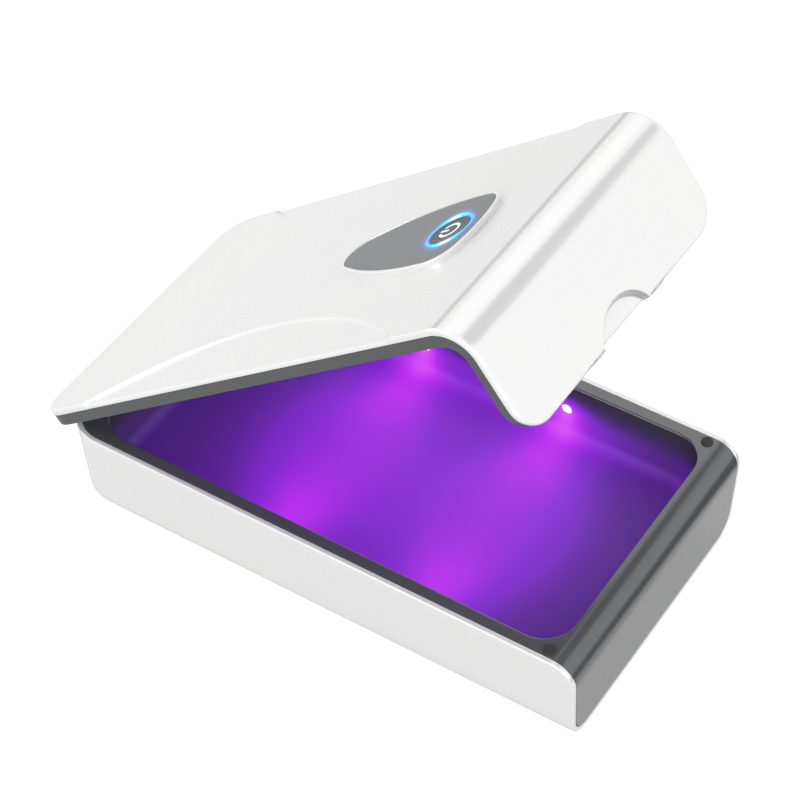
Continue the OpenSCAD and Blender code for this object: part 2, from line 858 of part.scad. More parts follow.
// Centre of the circle of radius r through p and q that lies to the left of p to q
function left_centre(p, q, r) =
    let (m = (p + q) / 2, d = q - p, h = sqrt(r * r - d * d / 4))
    m + h * [-d[1], d[0]] / norm(d);

// Outline of the control panel grown by g: three long arcs joined by three corner arcs
function island_points(g) =
    let (
        tip = [0, button_y - island_front + island_len],
        left = [-island_half, button_y - island_front],
        right = [island_half, button_y - island_front],
        side_r = island_side_r - island_r,
        front_r = island_front_r - island_r,
        c_right = left_centre(right, tip, side_r),
        c_left = left_centre(tip, left, side_r),
        c_front = left_centre(left, right, front_r),
        a_front = bearing(right - c_front),
        b_front = bearing(left - c_front),
        a_right = bearing(right - c_right),
        b_right = bearing(tip - c_right),
        r = island_r + g)
    concat(
        arc(c_front, island_front_r + g, b_front, a_front, 10),
        arc(right, r, a_front, a_right, 14),
        arc(c_right, island_side_r + g, a_right, b_right, 12),
        arc(tip, r, b_right, 180 - b_right, 14),
        arc(c_left, island_side_r + g, 180 - b_right, 180 - a_right, 12),
        arc(left, r, 180 - a_right, 360 + b_front, 14));

module island_block(g, z0, z1) {
    translate([0, 0, z0]) linear_extrude(z1 - z0) polygon(island_points(g));
}

// Lower field beside the near or far edge of the lid top, as a cutter
module side_field() {
    half = field_l / 2;
    r = (half * half + field_reach * field_reach) / (2 * field_reach);
    translate([base_w / 2 - field_reach + r, lid_back_y - field_start - half, lid_top_z - field_drop])
        cylinder(h = field_drop + cut, r = r, $fn = 240);
}

scoop_r = (scoop_w * scoop_w / 4 + scoop_h * scoop_h) / (2 * scoop_h);
scoop_z = apron_z + scoop_h - scoop_r;

// Rod along Y behind the finger scoop, grown by g, from the apron's face to a depth
module scoop_disc(g, y0, y1) {
    translate([0, 0, scoop_z]) rod_y(lid_front_y + y0, lid_front_y + y1, 2 * (scoop_r + g));
}

module lid_shell_closed() {
    difference() {
        union() {
            lid_sheet(0, 0, lid_bend_r, lid_shell_t, apron_shell_t, shell_r, 0);
            island_block(island_rim, lid_top_z - leaf, island_top_z);
            intersection() {
                scoop_disc(scoop_wall, leaf, scoop_depth + scoop_wall);
                lid_outline(0);
            }
            for (y = lid_screw_y)
                both_sides()
                    translate([lid_screw_x, y, sheet_top_z])
                        cylinder(h = shell_under_z - sheet_top_z + leaf, d = 5);
            for (sy = [-1, 1])
                both_sides()
                    translate([board_post_x, button_y + sy * board_post_x, button_board_z])
                        cylinder(h = post_h + leaf, d = 4);
        }
        both_sides() side_field();
        scoop_disc(0, -cut, scoop_depth);
        island_block(panel_clear, panel_under_z, island_top_z + cut);
        translate([0, button_y, shell_under_z - cut])
            cylinder(h = island_top_z - shell_under_z, d = ring_d + 2 * (ring_flange + panel_clear));
        for (y = lid_screw_y)
            both_sides()
                translate([lid_screw_x, y, sheet_top_z - cut])
                    cylinder(h = lid_screw_bite + pilot_spare + cut, d = small_screw_d - pilot_less);
        for (sy = [-1, 1])
            both_sides()
                translate([board_post_x, button_y + sy * board_post_x, button_board_z - cut])
                    cylinder(h = button_screw_bite + 0.4 * pilot_spare + cut, d = small_screw_d - pilot_less);
    }
}

module lid_shell() {
    color(shell_white) lid_pose() lid_shell_closed();
}

module lid_liner() {
    color(liner_grey)
    lid_pose()
    difference() {
        union() {
            difference() {
                lid_sheet(lid_shell_t, apron_shell_t, shell_r,
                          lid_shell_t + liner_t, apron_shell_t + apron_liner_t, under_r, liner_inset);
                lid_sheet(lid_shell_t - cut, apron_shell_t - cut, shell_r + cut,
                          lid_shell_t + liner_t - liner_sheet,
                          apron_shell_t + apron_liner_t - liner_sheet, sheet_r, liner_side);
            }
            // knuckles on their webs
            both_sides()
                translate([hinge_x, 0, 0])
                    along_x(knuckle_w) {
                        translate([hinge_y, hinge_z]) circle(r = knuckle_r);
                        translate([hinge_y - knuckle_r, hinge_z])
                            square([knuckle_r + web_back, lid_under_z - hinge_z + liner_sheet / 2]);
                    }
        }
        along_x(base_w)
            difference() {
                translate([lid_back_y - liner_edge_r, lid_under_z - cut])
                    square([liner_edge_r + cut, liner_edge_r + cut]);
                translate([lid_back_y - liner_inset - liner_edge_r, lid_under_z + liner_edge_r])
                    circle(r = liner_edge_r);
            }
        both_sides()
            translate([hinge_x, hinge_y, hinge_z])
                rod_x(-knuckle_w / 2 - cut, knuckle_w / 2 + cut, pin_d + 2 * pin_clear);
        for (y = lid_screw_y)
            both_sides()
                translate([lid_screw_x, y, lid_under_z - cut]) {
                    cylinder(h = liner_sheet + 2 * cut, d = small_screw_d + hole_more);
                    cylinder(h = cut + small_head_t, d = small_head_d + 0.3);
                }
        intersection() {
            scoop_disc(scoop_wall + 0.2, -cut, scoop_depth + scoop_wall + 0.2);
            lid_outline(-cut);
        }
    }
}

module lid_screws() {
    color(steel)
    lid_pose()
    for (y = lid_screw_y)
        both_sides()
            translate([lid_screw_x, y, lid_under_z + 0.1]) {
                difference() {
                    cylinder(h = small_head_t - 0.1, d = small_head_d);
                    translate([0, 0, -cut]) cylinder(h = cut + 0.4, d = 1.5, $fn = 6);
                }
                cylinder(h = liner_sheet + lid_screw_bite, d = small_screw_d - pilot_less);
            }
}

module control_panel() {
    color(panel_grey)
    lid_pose()
    difference() {
        island_block(0, panel_under_z, panel_top_z);
        translate([0, button_y, panel_under_z - cut])
            cylinder(h = panel_t + 2 * cut, d = ring_d + 0.1);
    }
}

module light_ring() {
    color(glow_blue)
    lid_pose()
    translate([0, button_y, 0])
        difference() {
            union() {
                translate([0, 0, panel_under_z - ring_flange_t])
                    cylinder(h = panel_top_z - panel_under_z + ring_flange_t, d = ring_d);
                translate([0, 0, panel_under_z - ring_flange_t])
                    cylinder(h = ring_flange_t, d = ring_d + 2 * ring_flange);
            }
            translate([0, 0, panel_under_z - ring_flange_t - cut])
                cylinder(h = panel_t + ring_flange_t + 2 * cut, d = button_d + 2 * button_clear);
        }
}

module button_board() {
    side = button_board_side;
    color(board_green)
    lid_pose()
    difference() {
        translate([-side / 2, button_y - side / 2, button_board_z - button_board_t])
            cube([side, side, button_board_t]);
        for (sy = [-1, 1])
            both_sides()
                translate([board_post_x, button_y + sy * board_post_x, button_board_z - button_board_t - cut])
                    cylinder(h = button_board_t + 2 * cut, d = small_screw_d + hole_more);
    }
}

module button_board_screws() {
    head_z = button_board_z - button_board_t;
    color(steel)
    lid_pose()
    for (sy = [-1, 1])
        both_sides()
            translate([board_post_x, button_y + sy * board_post_x, head_z]) {
                translate([0, 0, -0.6]) cylinder(h = 0.6, d = small_head_d - 0.2);
                translate([0, 0, -leaf])
                    cylinder(h = button_board_t + button_screw_bite + leaf, d = small_screw_d - pilot_less);
            }
}

module tact_switch() {
    color(black)
    lid_pose()
    translate([0, button_y, button_board_z])
        difference() {
            translate([-switch_side / 2, -switch_side / 2, 0]) cube([switch_side, switch_side, switch_h]);
            translate([0, 0, switch_h - button_travel - 0.1])
                cylinder(h = cut + button_travel, d = plunger_d + 0.3);
        }
}

module switch_plunger() {
    color(panel_grey)
    lid_pose()
    translate([0, button_y, button_board_z + switch_h]) cylinder(h = plunger_h, d = plunger_d);
}

module ring_light(dx, dy) {
    reach = ring_d / 2 - ring_w / 2;
    color(shell_white)
    lid_pose()
    translate([dx * reach, button_y + dy * reach, button_board_z])
        rotate([0, 0, dx == 0 ? 0 : 90])
            translate([-ring_led[0] / 2, -ring_led[1] / 2, 0]) cube(ring_led);
}

module symbol_flat() {
    difference() {
        circle(d = symbol_d);
        circle(d = symbol_d - 2 * symbol_line);
        polygon([[0, 0], [-symbol_d * 0.32, symbol_d], [symbol_d * 0.32, symbol_d]]);
    }
    translate([-symbol_line / 2, symbol_d * 0.06]) square([symbol_line, symbol_d * 0.5]);
}

module power_button() {
    color(black)
    lid_pose()
    translate([0, button_y, 0])
        difference() {
            union() {
                translate([0, 0, skirt_z]) cylinder(h = panel_top_z - skirt_z, d = button_d);
                translate([0, 0, skirt_z]) cylinder(h = skirt_t, d = ring_d - 1);
                translate([0, 0, plunger_top_z]) cylinder(h = skirt_z - plunger_top_z + leaf, d = 4);
            }
            translate([0, 0, panel_top_z - 0.3]) linear_extrude(cut) symbol_flat();
        }
}

module power_symbol() {
    color("white")
    lid_pose()
    translate([0, button_y, panel_top_z - 0.3]) linear_extrude(0.3) symbol_flat();
}

module lid_magnet(side) {
    rest_y = lid_front_y + apron_shell_t + apron_liner_t - liner_sheet;
    color(steel)
    lid_pose()
    translate([side * magnet_x, 0, apron_z + magnet_up]) rod_y(rest_y - magnet_t, rest_y, magnet_d);
}

// Ribbon lead on the liner's sheet, from the button board back to the left hinge
module lid_ribbon() {
    z0 = sheet_top_z;
    y0 = hinge_y - 8;
    turn_y = button_y + 40;
    end_x = -hinge_x;
    color(shell_white)
    lid_pose() {
        translate([-ribbon_w / 2, button_y, z0])
            cube([ribbon_w, ribbon_w / 2, button_board_z - button_board_t - z0]);
        translate([-ribbon_w / 2, button_y, z0]) cube([ribbon_w, turn_y - button_y, ribbon_t]);
        translate([end_x - ribbon_w / 2, turn_y - ribbon_w, z0])
            cube([ribbon_w / 2 - end_x + ribbon_w / 2, ribbon_w, ribbon_t]);
        translate([end_x - ribbon_w / 2, turn_y - ribbon_w, z0])
            cube([ribbon_w, y0 - turn_y + ribbon_w, ribbon_t]);
    }
}

base_shell();
inner_tub();
rim_stop(-1);  // rim_stop_left
rim_stop(1);  // rim_stop_right
foot(-1, foot_y[0]);  // foot_front_left
foot(1, foot_y[0]);  // foot_front_right
foot(-1, foot_y[1]);  // foot_back_left
foot(1, foot_y[1]);  // foot_back_right
housing_screws();
main_board();
board_screws();
power_socket();
socket_tongue();
controller_chip();
driver_coil();
light_board(-1);  // light_board_left
light_board(1);  // light_board_right
emitter(-1, light_y[0]);  // emitter_front_left
emitter(-1, light_y[1]);  // emitter_back_left
emitter(1, light_y[0]);  // emitter_front_right
emitter(1, light_y[1]);  // emitter_back_right
light_window(-1, light_y[0]);  // window_front_left
light_window(-1, light_y[1]);  // window_back_left
light_window(1, light_y[0]);  // window_front_right
light_window(1, light_y[1]);  // window_back_right
light_ribbon(-1);  // light_ribbon_left
light_ribbon(1);  // light_ribbon_right
lid_sensor_board();
lid_sensor();
catch_plate(-1);  // catch_plate_left
catch_plate(1);  // catch_plate_right
hinge_pin(-1);  // hinge_pin_left
hinge_pin(1);  // hinge_pin_right
friction_washer(-1);  // friction_washer_left
friction_washer(1);  // friction_washer_right
lid_shell();
lid_liner();
lid_screws();
control_panel();
light_ring();
button_board();
button_board_screws();
tact_switch();
ring_light(0, -1);  // ring_led_front
ring_light(0, 1);  // ring_led_back
ring_light(-1, 0);  // ring_led_left
ring_light(1, 0);  // ring_led_right
lid_magnet(-1);  // lid_magnet_left
lid_magnet(1);  // lid_magnet_right
lid_ribbon();
power_button();
power_symbol();
switch_plunger();
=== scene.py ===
import json
import math
import bmesh
import bpy
import numpy as np
from mathutils import Matrix, Vector


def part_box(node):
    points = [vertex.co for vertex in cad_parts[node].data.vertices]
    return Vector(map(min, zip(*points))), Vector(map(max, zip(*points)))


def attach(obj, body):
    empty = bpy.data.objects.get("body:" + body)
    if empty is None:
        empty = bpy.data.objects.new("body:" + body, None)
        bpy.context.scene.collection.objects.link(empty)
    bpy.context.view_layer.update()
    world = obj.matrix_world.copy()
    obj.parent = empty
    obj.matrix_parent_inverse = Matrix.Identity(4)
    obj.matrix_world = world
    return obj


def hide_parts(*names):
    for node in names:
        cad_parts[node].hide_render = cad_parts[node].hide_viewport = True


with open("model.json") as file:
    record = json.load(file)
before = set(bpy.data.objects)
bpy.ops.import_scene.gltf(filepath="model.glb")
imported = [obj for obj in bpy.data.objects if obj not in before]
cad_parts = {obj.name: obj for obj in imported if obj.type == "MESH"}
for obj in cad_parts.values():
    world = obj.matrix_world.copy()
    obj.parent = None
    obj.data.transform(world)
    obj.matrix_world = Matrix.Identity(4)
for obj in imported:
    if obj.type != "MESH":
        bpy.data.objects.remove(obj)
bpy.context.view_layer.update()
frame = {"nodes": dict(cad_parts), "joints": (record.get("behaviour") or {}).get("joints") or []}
nodes = frame["nodes"]

mm = 0.001
mergeWithin = 2e-6          # metres
sharpAngle = 32             # degrees between faces from which an edge is drawn sharp
print("frame loaded:", len(nodes), "nodes")


def boxOf(name):
    # the low corner, the high corner and the middle of a CAD node, in mm
    low, high = (np.array(corner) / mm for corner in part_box(name))
    return low, high, (low + high) / 2


# what the frame fixes, in mm: the housing's box, the hinge's axis and the lid's angle at rest
baseLow, baseHigh = boxOf("base_shell")[:2]
hingeJoint = [joint for joint in frame["joints"] if joint["type"] == "hinge"][0]
frontY, underZ, rimZ = baseLow[1], baseLow[2], baseHigh[2]
hingeY, hingeZ = (value / mm for value in hingeJoint["pos_m"][1:])
restAngle = math.radians(hingeJoint["range_deg"][0])


def turnLid(points, angle=restAngle):
    # points of the closed lid, in mm, turned about the hinge: y cos - z sin, y sin + z cos
    points = np.array(points, float)
    y, z = points[..., 1] - hingeY, points[..., 2] - hingeZ
    c, s = math.cos(angle), math.sin(angle)
    points[..., 1] = hingeY + c * y - s * z
    points[..., 2] = hingeZ + s * y + c * z
    return points


def closedLid(points):
    # places on the lid at rest turned back to the closed lid
    return turnLid(points, -restAngle)


def softStep(t):
    # 0 below t = 0, 1 above t = 1, and 3t² - 2t³ between
    t = np.clip(t, 0, 1)
    return t * t * (3 - 2 * t)


def gridFaces(rows, cols, first=0, wrap=False, ring=False):
    # the quads of a grid of points numbered row by row: wrap joins the last column to the
    # first one, and ring the last row to the first one
    i = np.arange(rows if ring else rows - 1)[:, None]
    j = np.arange(cols if wrap else cols - 1)[None, :]
    k, below = (j + 1) % cols, (i + 1) % rows
    quads = np.stack([i * cols + j, i * cols + k, below * cols + k, below * cols + j], -1)
    return first + quads.reshape(-1, 4)


def joinParts(parts):
    # several (points, faces) as one, the faces renumbered
    points, faces, count = [], [], 0
    for p, f in parts:
        points.append(np.asarray(p, float).reshape(-1, 3))
        faces += [[int(v) + count for v in face] for face in f]
        count += len(points[-1])
    return np.concatenate(points), faces


def levelRows(rows):
    # (outline, height) pairs as one grid of points, a row for each: a height is one number for
    # the row or one for each of its points
    return np.array([np.column_stack([xy, np.full(len(xy), z)]) for xy, z in rows])


def addObject(name, data):
    thing = bpy.data.objects.new(name, data)
    bpy.context.scene.collection.objects.link(thing)
    return thing


def cleanMesh(name, points, faces):
    # points in mm and faces as a mesh, its doubles merged and its faces turned outwards
    mesh = bpy.data.meshes.new(name)
    mesh.from_pydata((np.asarray(points, float).reshape(-1, 3) * mm).tolist(), [],
                     [[int(v) for v in face] for face in faces])
    form = bmesh.new()
    form.from_mesh(mesh)
    bmesh.ops.remove_doubles(form, verts=form.verts, dist=mergeWithin)
    bmesh.ops.dissolve_degenerate(form, edges=form.edges, dist=mergeWithin / 20)
    bmesh.ops.recalc_face_normals(form, faces=form.faces)
    form.to_mesh(mesh)
    form.free()
    return mesh


def cutAway(piece, cutters):
    # cuts closed (points, faces) forms out of a piece and leaves the plain mesh
    mesh = cleanMesh("cutter", *joinParts(cutters))
    tool = addObject("cutter", mesh)
    change = piece.modifiers.new("cut", "BOOLEAN")
    change.operation, change.solver, change.object = "DIFFERENCE", "EXACT", tool
    bpy.context.view_layer.update()
    result = bpy.data.meshes.new_from_object(piece.evaluated_get(bpy.context.evaluated_depsgraph_get()))
    piece.modifiers.clear()
    piece.data = result
    bpy.data.objects.remove(tool)
    bpy.data.meshes.remove(mesh)


def makePiece(name, points, faces, material, body, slot, replaced=(), cutters=None, added=None):
    # a finished piece in place of its CAD nodes: cutters are cut out of it, and then closed
    # forms are added to it
    piece = addObject(name, cleanMesh(name, points, faces))
    if cutters:
        cutAway(piece, cutters)
    if added:
        extra = cleanMesh("added", *joinParts(added))
        form = bmesh.new()
        form.from_mesh(piece.data)
        form.from_mesh(extra)
        form.to_mesh(piece.data)
        form.free()
        bpy.data.meshes.remove(extra)
    piece.data.shade_smooth()
    piece.data.set_sharp_from_angle(angle=math.radians(sharpAngle))
    piece.data.materials.clear()
    piece.data.materials.append(material)
    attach(piece, body)
    if replaced:
        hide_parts(*replaced)
    print("made", name, len(piece.data.polygons), "faces")
    return piece


def setAttribute(piece, name, values):
    # one number for each vertex, for a material to read
    attribute = piece.data.attributes.new(name, "FLOAT", "POINT")
    attribute.data.foreach_set("value", np.asarray(values, np.float32))


def vectorsOf(piece, what):
    # the places ("co", in metres) or directions ("normal") of a piece's vertices
    flat = np.zeros(len(piece.data.vertices) * 3)
    piece.data.vertices.foreach_get(what, flat)
    return flat.reshape(-1, 3)


def placesOf(piece):
    return vectorsOf(piece, "co") / mm


def arcPoints(centre, radius, start, end, steps):
    # (x, y) along an arc after its first point: centre + radius (cos, sin)
    angle = np.linspace(start, end, steps + 1)[1:]
    return np.column_stack([centre[0] + radius * np.cos(angle), centre[1] + radius * np.sin(angle)])


def turned(profile, centre, axis="z", steps=64, loop=False):
    # a profile of (radius, height) pairs carried round an axis: poles are closed where the
    # radius is 0, and a loop profile gives a ring
    profile = np.array(profile, float)
    a = np.linspace(0, 2 * math.pi, steps, endpoint=False)
    r, h = profile[:, :1], profile[:, 1:] + 0 * a
    ring = np.stack([r * np.cos(a), r * np.sin(a), h], -1)
    if axis == "x":
        ring = ring[..., [2, 0, 1]]
    ring = ring + np.array(centre, float)
    return ring.reshape(-1, 3), gridFaces(len(profile), steps, wrap=True, ring=loop).tolist()


def quarter(r, n=4):
    # (sin, 1 - cos) pairs of a quarter circle of radius r
    a = np.linspace(0, math.pi / 2, n + 1)
    return [(r * math.sin(v), r * (1 - math.cos(v))) for v in a]


def roundedRod(r, h, edge, top=None):
    # profile of a rod from height 0 to h, its edges rounded by edge below and top above
    top = edge if top is None else top
    low = [(r - edge + s, c) for s, c in quarter(edge)]
    high = [(r - top + s, h - c) for s, c in quarter(top)][::-1]
    return [(0, 0)] + low + high + [(0, h)]


def blockForm(low, high):
    # a box between two corners as eight points and six faces
    x0, y0, z0 = low
    x1, y1, z1 = high
    points = [(x, y, z) for z in (z0, z1) for y in (y0, y1) for x in (x0, x1)]
    faces = [[0, 2, 3, 1], [4, 5, 7, 6], [0, 1, 5, 4], [2, 6, 7, 3], [0, 4, 6, 2], [1, 3, 7, 5]]
    return np.array(points, float), faces


def carried(outline, xs, insets):
    # a closed (y, z) outline carried along x and drawn in towards its own middle by the
    # insets, with a fan of triangles at each end
    outline = np.array(outline, float)
    middle = outline.mean(0)
    away = outline - middle
    size = np.linalg.norm(away, axis=1, keepdims=True)
    n = len(outline)
    rows = [np.column_stack([np.full(n, x), middle + away * (1 - inset / size)])
            for x, inset in zip(xs, insets)]
    points = np.concatenate([[[xs[0], *middle]], *rows, [[xs[-1], *middle]]])
    faces = gridFaces(len(rows), n, first=1, wrap=True).tolist()
    last = 1 + (len(rows) - 1) * n
    faces += [[0, 1 + (j + 1) % n, 1 + j] for j in range(n)]
    faces += [[len(points) - 1, last + j, last + (j + 1) % n] for j in range(n)]
    return points, faces


def closeSheet(outer, inner, border, rims, closedLoop=True):
    # a solid from an outer and an inner grid of points and the rows of points between their
    # borders: outer grid, rim rows, inner grid
    rows, cols = outer.shape[:2]
    count = rows * cols
    ring = len(border)
    points = np.concatenate([outer.reshape(-1, 3), inner.reshape(-1, 3), np.array(rims).reshape(-1, 3)])
    faces = [gridFaces(rows, cols), gridFaces(rows, cols, first=count)[:, ::-1]]
    chain = [border] + [2 * count + k * ring + np.arange(ring) for k in range(len(rims))] + [count + border]
    for a, b in zip(chain[:-1], chain[1:]):
        c, d = np.roll(a, -1), np.roll(b, -1)
        quads = np.stack([a, b, d, c], -1)
        faces.append(quads if closedLoop else quads[:-1])
    return points, np.concatenate(faces)


def rimRows(a, b, outward, radius, inner):
    # rows from border a to border b round the outside: a quarter circle, a straight wall and
    # a smaller quarter circle
    across = b - a
    across = across / np.linalg.norm(across, axis=1, keepdims=True)
    rows = [a + outward * s + across * c for s, c in quarter(radius)[1:]]
    rows += [b + outward * (radius - inner + s) - across * c for s, c in quarter(inner, 3)[::-1][:-1]]
    rows.append(b + outward * (radius - inner))
    return rows


def srgb(code):
    # the linear colour of an sRGB hex code
    values = [int(code[i:i + 2], 16) / 255 for i in (1, 3, 5)]
    return [v / 12.92 if v <= 0.04045 else ((v + 0.055) / 1.055) ** 2.4 for v in values] + [1.0]


def setInputs(tree, node, inputs):
    # each input gets a number, a colour or a link to another node's output
    for key, value in inputs.items():
        if isinstance(value, bpy.types.NodeSocket):
            tree.links.new(value, node.inputs[key])
        else:
            node.inputs[key].default_value = value


def addNode(tree, kind, inputs=None, stops=(), **settings):
    # adds a node with its settings, its inputs and, for a ramp, its (place, hex colour) stops
    node = tree.nodes.new(kind)
    for key, value in settings.items():
        setattr(node, key, value)
    setInputs(tree, node, inputs or {})
    while stops and len(node.color_ramp.elements) < len(stops):
        node.color_ramp.elements.new(0.5)
    for count, (place, code) in enumerate(stops):
        node.color_ramp.elements[count].position = place
        node.color_ramp.elements[count].color = srgb(code)
    return node


def startMaterial(name, **values):
    # a material with a plain surface shader whose own sockets hold the fixed values
    material = bpy.data.materials.new(name)
    material.use_nodes = True
    tree = material.node_tree
    shader = tree.nodes["Principled BSDF"]
    setInputs(tree, shader, {key.replace("_", " "): value for key, value in values.items()})
    return material, tree, shader


driftSize = 60              # mm over which a moulded part's colour wanders
# the near black of the painted shade in the finger scoop
paintedShadeTone = "#202022"


def plasticNodes(tree, shader, tones, grain, depth, gloss, paintedShade=0):
    # colour that drifts a little, moulded grain of the given size and depth in mm, and a
    # roughness that follows the grain; the last argument sets how far painted shade darkens the
    # colour where the surface's painted-shade attribute asks for it
    place = addNode(tree, "ShaderNodeTexCoord").outputs["Object"]
    drift = addNode(tree, "ShaderNodeTexNoise", {"Vector": place, "Scale": 1 / (driftSize * mm),
                                                 "Detail": 2.0})
    fine = addNode(tree, "ShaderNodeTexNoise", {"Vector": place, "Scale": 1 / (grain * mm), "Detail": 3.0,
                                                "Roughness": 0.6}).outputs["Fac"]
    colour = addNode(tree, "ShaderNodeValToRGB", {"Fac": drift.outputs["Fac"]},
                     stops=[(0.35, tones[0]), (0.65, tones[1])]).outputs["Color"]
    # painted shade: the colour is mixed towards a near black where the attribute asks for it
    if paintedShade:
        hollow = addNode(tree, "ShaderNodeAttribute", attribute_name="paintedShade").outputs["Fac"]
        dark = addNode(tree, "ShaderNodeMath", {0: hollow, 1: paintedShade}, operation="MULTIPLY").outputs["Value"]
        colour = addNode(tree, "ShaderNodeMixRGB", {"Fac": dark, "Color1": colour, "Color2": srgb(paintedShadeTone)}
                         ).outputs["Color"]
    rough = addNode(tree, "ShaderNodeMapRange", {"Value": fine, "From Min": 0.3, "From Max": 0.7,
                                                 "To Min": gloss[0], "To Max": gloss[1]})
    bump = addNode(tree, "ShaderNodeBump", {"Height": fine, "Strength": 0.6, "Distance": depth * mm})
    setInputs(tree, shader, {"Base Color": colour, "Roughness": rough.outputs["Result"],
                             "Normal": bump.outputs["Normal"]})


def whiteAbs():
    # ABS, injection moulded in a polished tool and lacquered: a clean white under a smooth
    # gloss that carries the long soft bands of a studio's lamps, with painted shade on the
    # finger scoop's wall
    material, tree, shader = startMaterial("white_lacquered_abs", IOR=1.9, Coat_Weight=1.0, Coat_IOR=2.5,
                                           Coat_Roughness=0.17)
    plasticNodes(tree, shader, ("#F4F4F4", "#F6F6F5"), 0.6, 0.0002, (0.27, 0.29), paintedShade=0.6)
    return material


def greyAbs():
    # ABS coloured in the mass, moulded with a fine grain: a mid grey with a satin gleam, and
    # violet light painted on as emission where the "uvGlow" attribute says so
    material, tree, shader = startMaterial("grey_moulded_abs", IOR=1.54)
    plasticNodes(tree, shader, ("#4E5051", "#525455"), 0.5, 0.014, (0.36, 0.46))
    glow = addNode(tree, "ShaderNodeAttribute", attribute_name="uvGlow").outputs["Fac"]
    setInputs(tree, shader, {"Emission Strength": glow, "Emission Color": srgb("#8A2CD8")})
    return material


def greyLacquer():
    # the same ABS from a polished tool, lacquered: the dark grey carries long soft bands
    material, tree, shader = startMaterial("grey_lacquered_abs", IOR=1.54, Coat_Weight=1.0, Coat_IOR=1.6,
                                           Coat_Roughness=0.18)
    plasticNodes(tree, shader, ("#4D4E51", "#515255"), 0.5, 0.006, (0.3, 0.4))
    return material


def chamberAbs():
    # the same grey ABS, spark-eroded matt, with the violet light from its windows painted on as
    # emission: the "uvGlow" attribute holds how much painted violet light each place gets
    material, tree, shader = startMaterial("grey_eroded_abs_painted_violet_light", IOR=1.54, Specular_IOR_Level=0.3)
    plasticNodes(tree, shader, ("#35353B", "#39393F"), 0.5, 0.012, (0.5, 0.6))
    glow = addNode(tree, "ShaderNodeAttribute", attribute_name="uvGlow").outputs["Fac"]
    colour = addNode(tree, "ShaderNodeValToRGB", {"Fac": glow},
                     stops=[(0.0, "#2C0652"), (0.12, "#4C0A8C"), (0.32, "#8210D2"), (0.52, "#B81EEE"),
                            (0.76, "#DE50FC"), (1.0, "#FFE0FF")])
    power = addNode(tree, "ShaderNodeMapRange", {"Value": glow, "From Max": 0.25, "To Max": 0.95})
    setInputs(tree, shader, {"Emission Color": colour.outputs["Color"],
                             "Emission Strength": power.outputs["Result"]})
    return material


def haloNodes(tree, shader, strength):
    # painted blue light: the ring's light on the surface beside it, painted on as emission from
    # the "halo" attribute
    halo = addNode(tree, "ShaderNodeAttribute", attribute_name="halo").outputs["Fac"]
    colour = addNode(tree, "ShaderNodeValToRGB", {"Fac": halo},
                     stops=[(0.0, "#0A4AC8"), (0.45, "#18A0F0"), (1.0, "#A8F4FF")])
    power = addNode(tree, "ShaderNodeMath", {0: halo, 1: strength}, operation="MULTIPLY")
    setInputs(tree, shader, {"Emission Color": colour.outputs["Color"],
                             "Emission Strength": power.outputs["Value"]})


def panelPaint():
    # polycarbonate, moulded and painted satin grey: even, with a very fine fleck
    material, tree, shader = startMaterial("grey_painted_polycarbonate", IOR=1.55, Metallic=0.15)
    plasticNodes(tree, shader, ("#797B7D", "#7D7F81"), 0.35, 0.004, (0.30, 0.36))
    # painted blue light from the ring on the panel beside it
    haloNodes(tree, shader, 1.3)
    return material


def buttonAbs():
    # ABS, moulded in charcoal with a polished face: dark, with a clear soft reflection
    material, tree, shader = startMaterial("charcoal_polished_abs", IOR=1.54)
    plasticNodes(tree, shader, ("#2E3032", "#333537"), 0.4, 0.003, (0.24, 0.30))
    # painted blue light from the ring on the button beside it
    haloNodes(tree, shader, 0.6)
    return material


def ringDiffuser():
    # opal polycarbonate, moulded: a blue ring with two whiter places where the lamps sit
    material, tree, shader = startMaterial("opal_moulded_polycarbonate", IOR=1.58, Roughness=0.3)
    flare = addNode(tree, "ShaderNodeAttribute", attribute_name="flare").outputs["Fac"]
    tones = [(0.0, "#4E92FF"), (0.3, "#14B8FF"), (0.7, "#10E4FF"), (1.0, "#D8FFFF")]
    colour = addNode(tree, "ShaderNodeValToRGB", {"Fac": flare}, stops=tones).outputs["Color"]
    power = addNode(tree, "ShaderNodeMapRange", {"Value": flare, "From Max": 1.0,
                                                 "To Min": 0.85, "To Max": 1.6})
    setInputs(tree, shader, {"Base Color": colour, "Emission Color": colour,
                             "Emission Strength": power.outputs["Result"]})
    return material


def symbolInlay():
    # opal ABS, moulded into the button: whitish with a trace of the blue light below
    material, tree, shader = startMaterial("opal_moulded_abs_inlay", IOR=1.54, Emission_Strength=0.35,
                                           Emission_Color=srgb("#D8ECFF"))
    plasticNodes(tree, shader, ("#EDF4FA", "#F6FAFD"), 0.4, 0.003, (0.3, 0.38))
    return material


def lampLens():
    # fused quartz, ground and polished, with the violet lamp close behind it
    material, tree, shader = startMaterial("polished_quartz_violet_lit", IOR=1.46, Emission_Strength=3.0)
    place = addNode(tree, "ShaderNodeTexCoord").outputs["Object"]
    spots = addNode(tree, "ShaderNodeTexNoise", {"Vector": place, "Scale": 1 / (1.5 * mm)}).outputs["Fac"]
    colour = addNode(tree, "ShaderNodeValToRGB", {"Fac": spots},
                     stops=[(0.35, "#E070FF"), (0.65, "#FFD8FF")]).outputs["Color"]
    rough = addNode(tree, "ShaderNodeMapRange", {"Value": spots, "To Min": 0.05, "To Max": 0.12})
    setInputs(tree, shader, {"Base Color": colour, "Emission Color": colour,
                             "Roughness": rough.outputs["Result"]})
    return material


def rubber():
    # silicone rubber, moulded: near black and dull, with a faint dusty bloom
    material, tree, shader = startMaterial("black_moulded_silicone", IOR=1.41)
    plasticNodes(tree, shader, ("#343436", "#3A3A3C"), 0.3, 0.012, (0.62, 0.74))
    return material


def steel(name="drawn_steel", tones=("#A9ABAE", "#BDBFC2"), gloss=(0.22, 0.36)):
    # steel, drawn and plated: bright, with a very fine even grain
    material, tree, shader = startMaterial(name, Metallic=1.0)
    plasticNodes(tree, shader, tones, 0.25, 0.004, gloss)
    return material


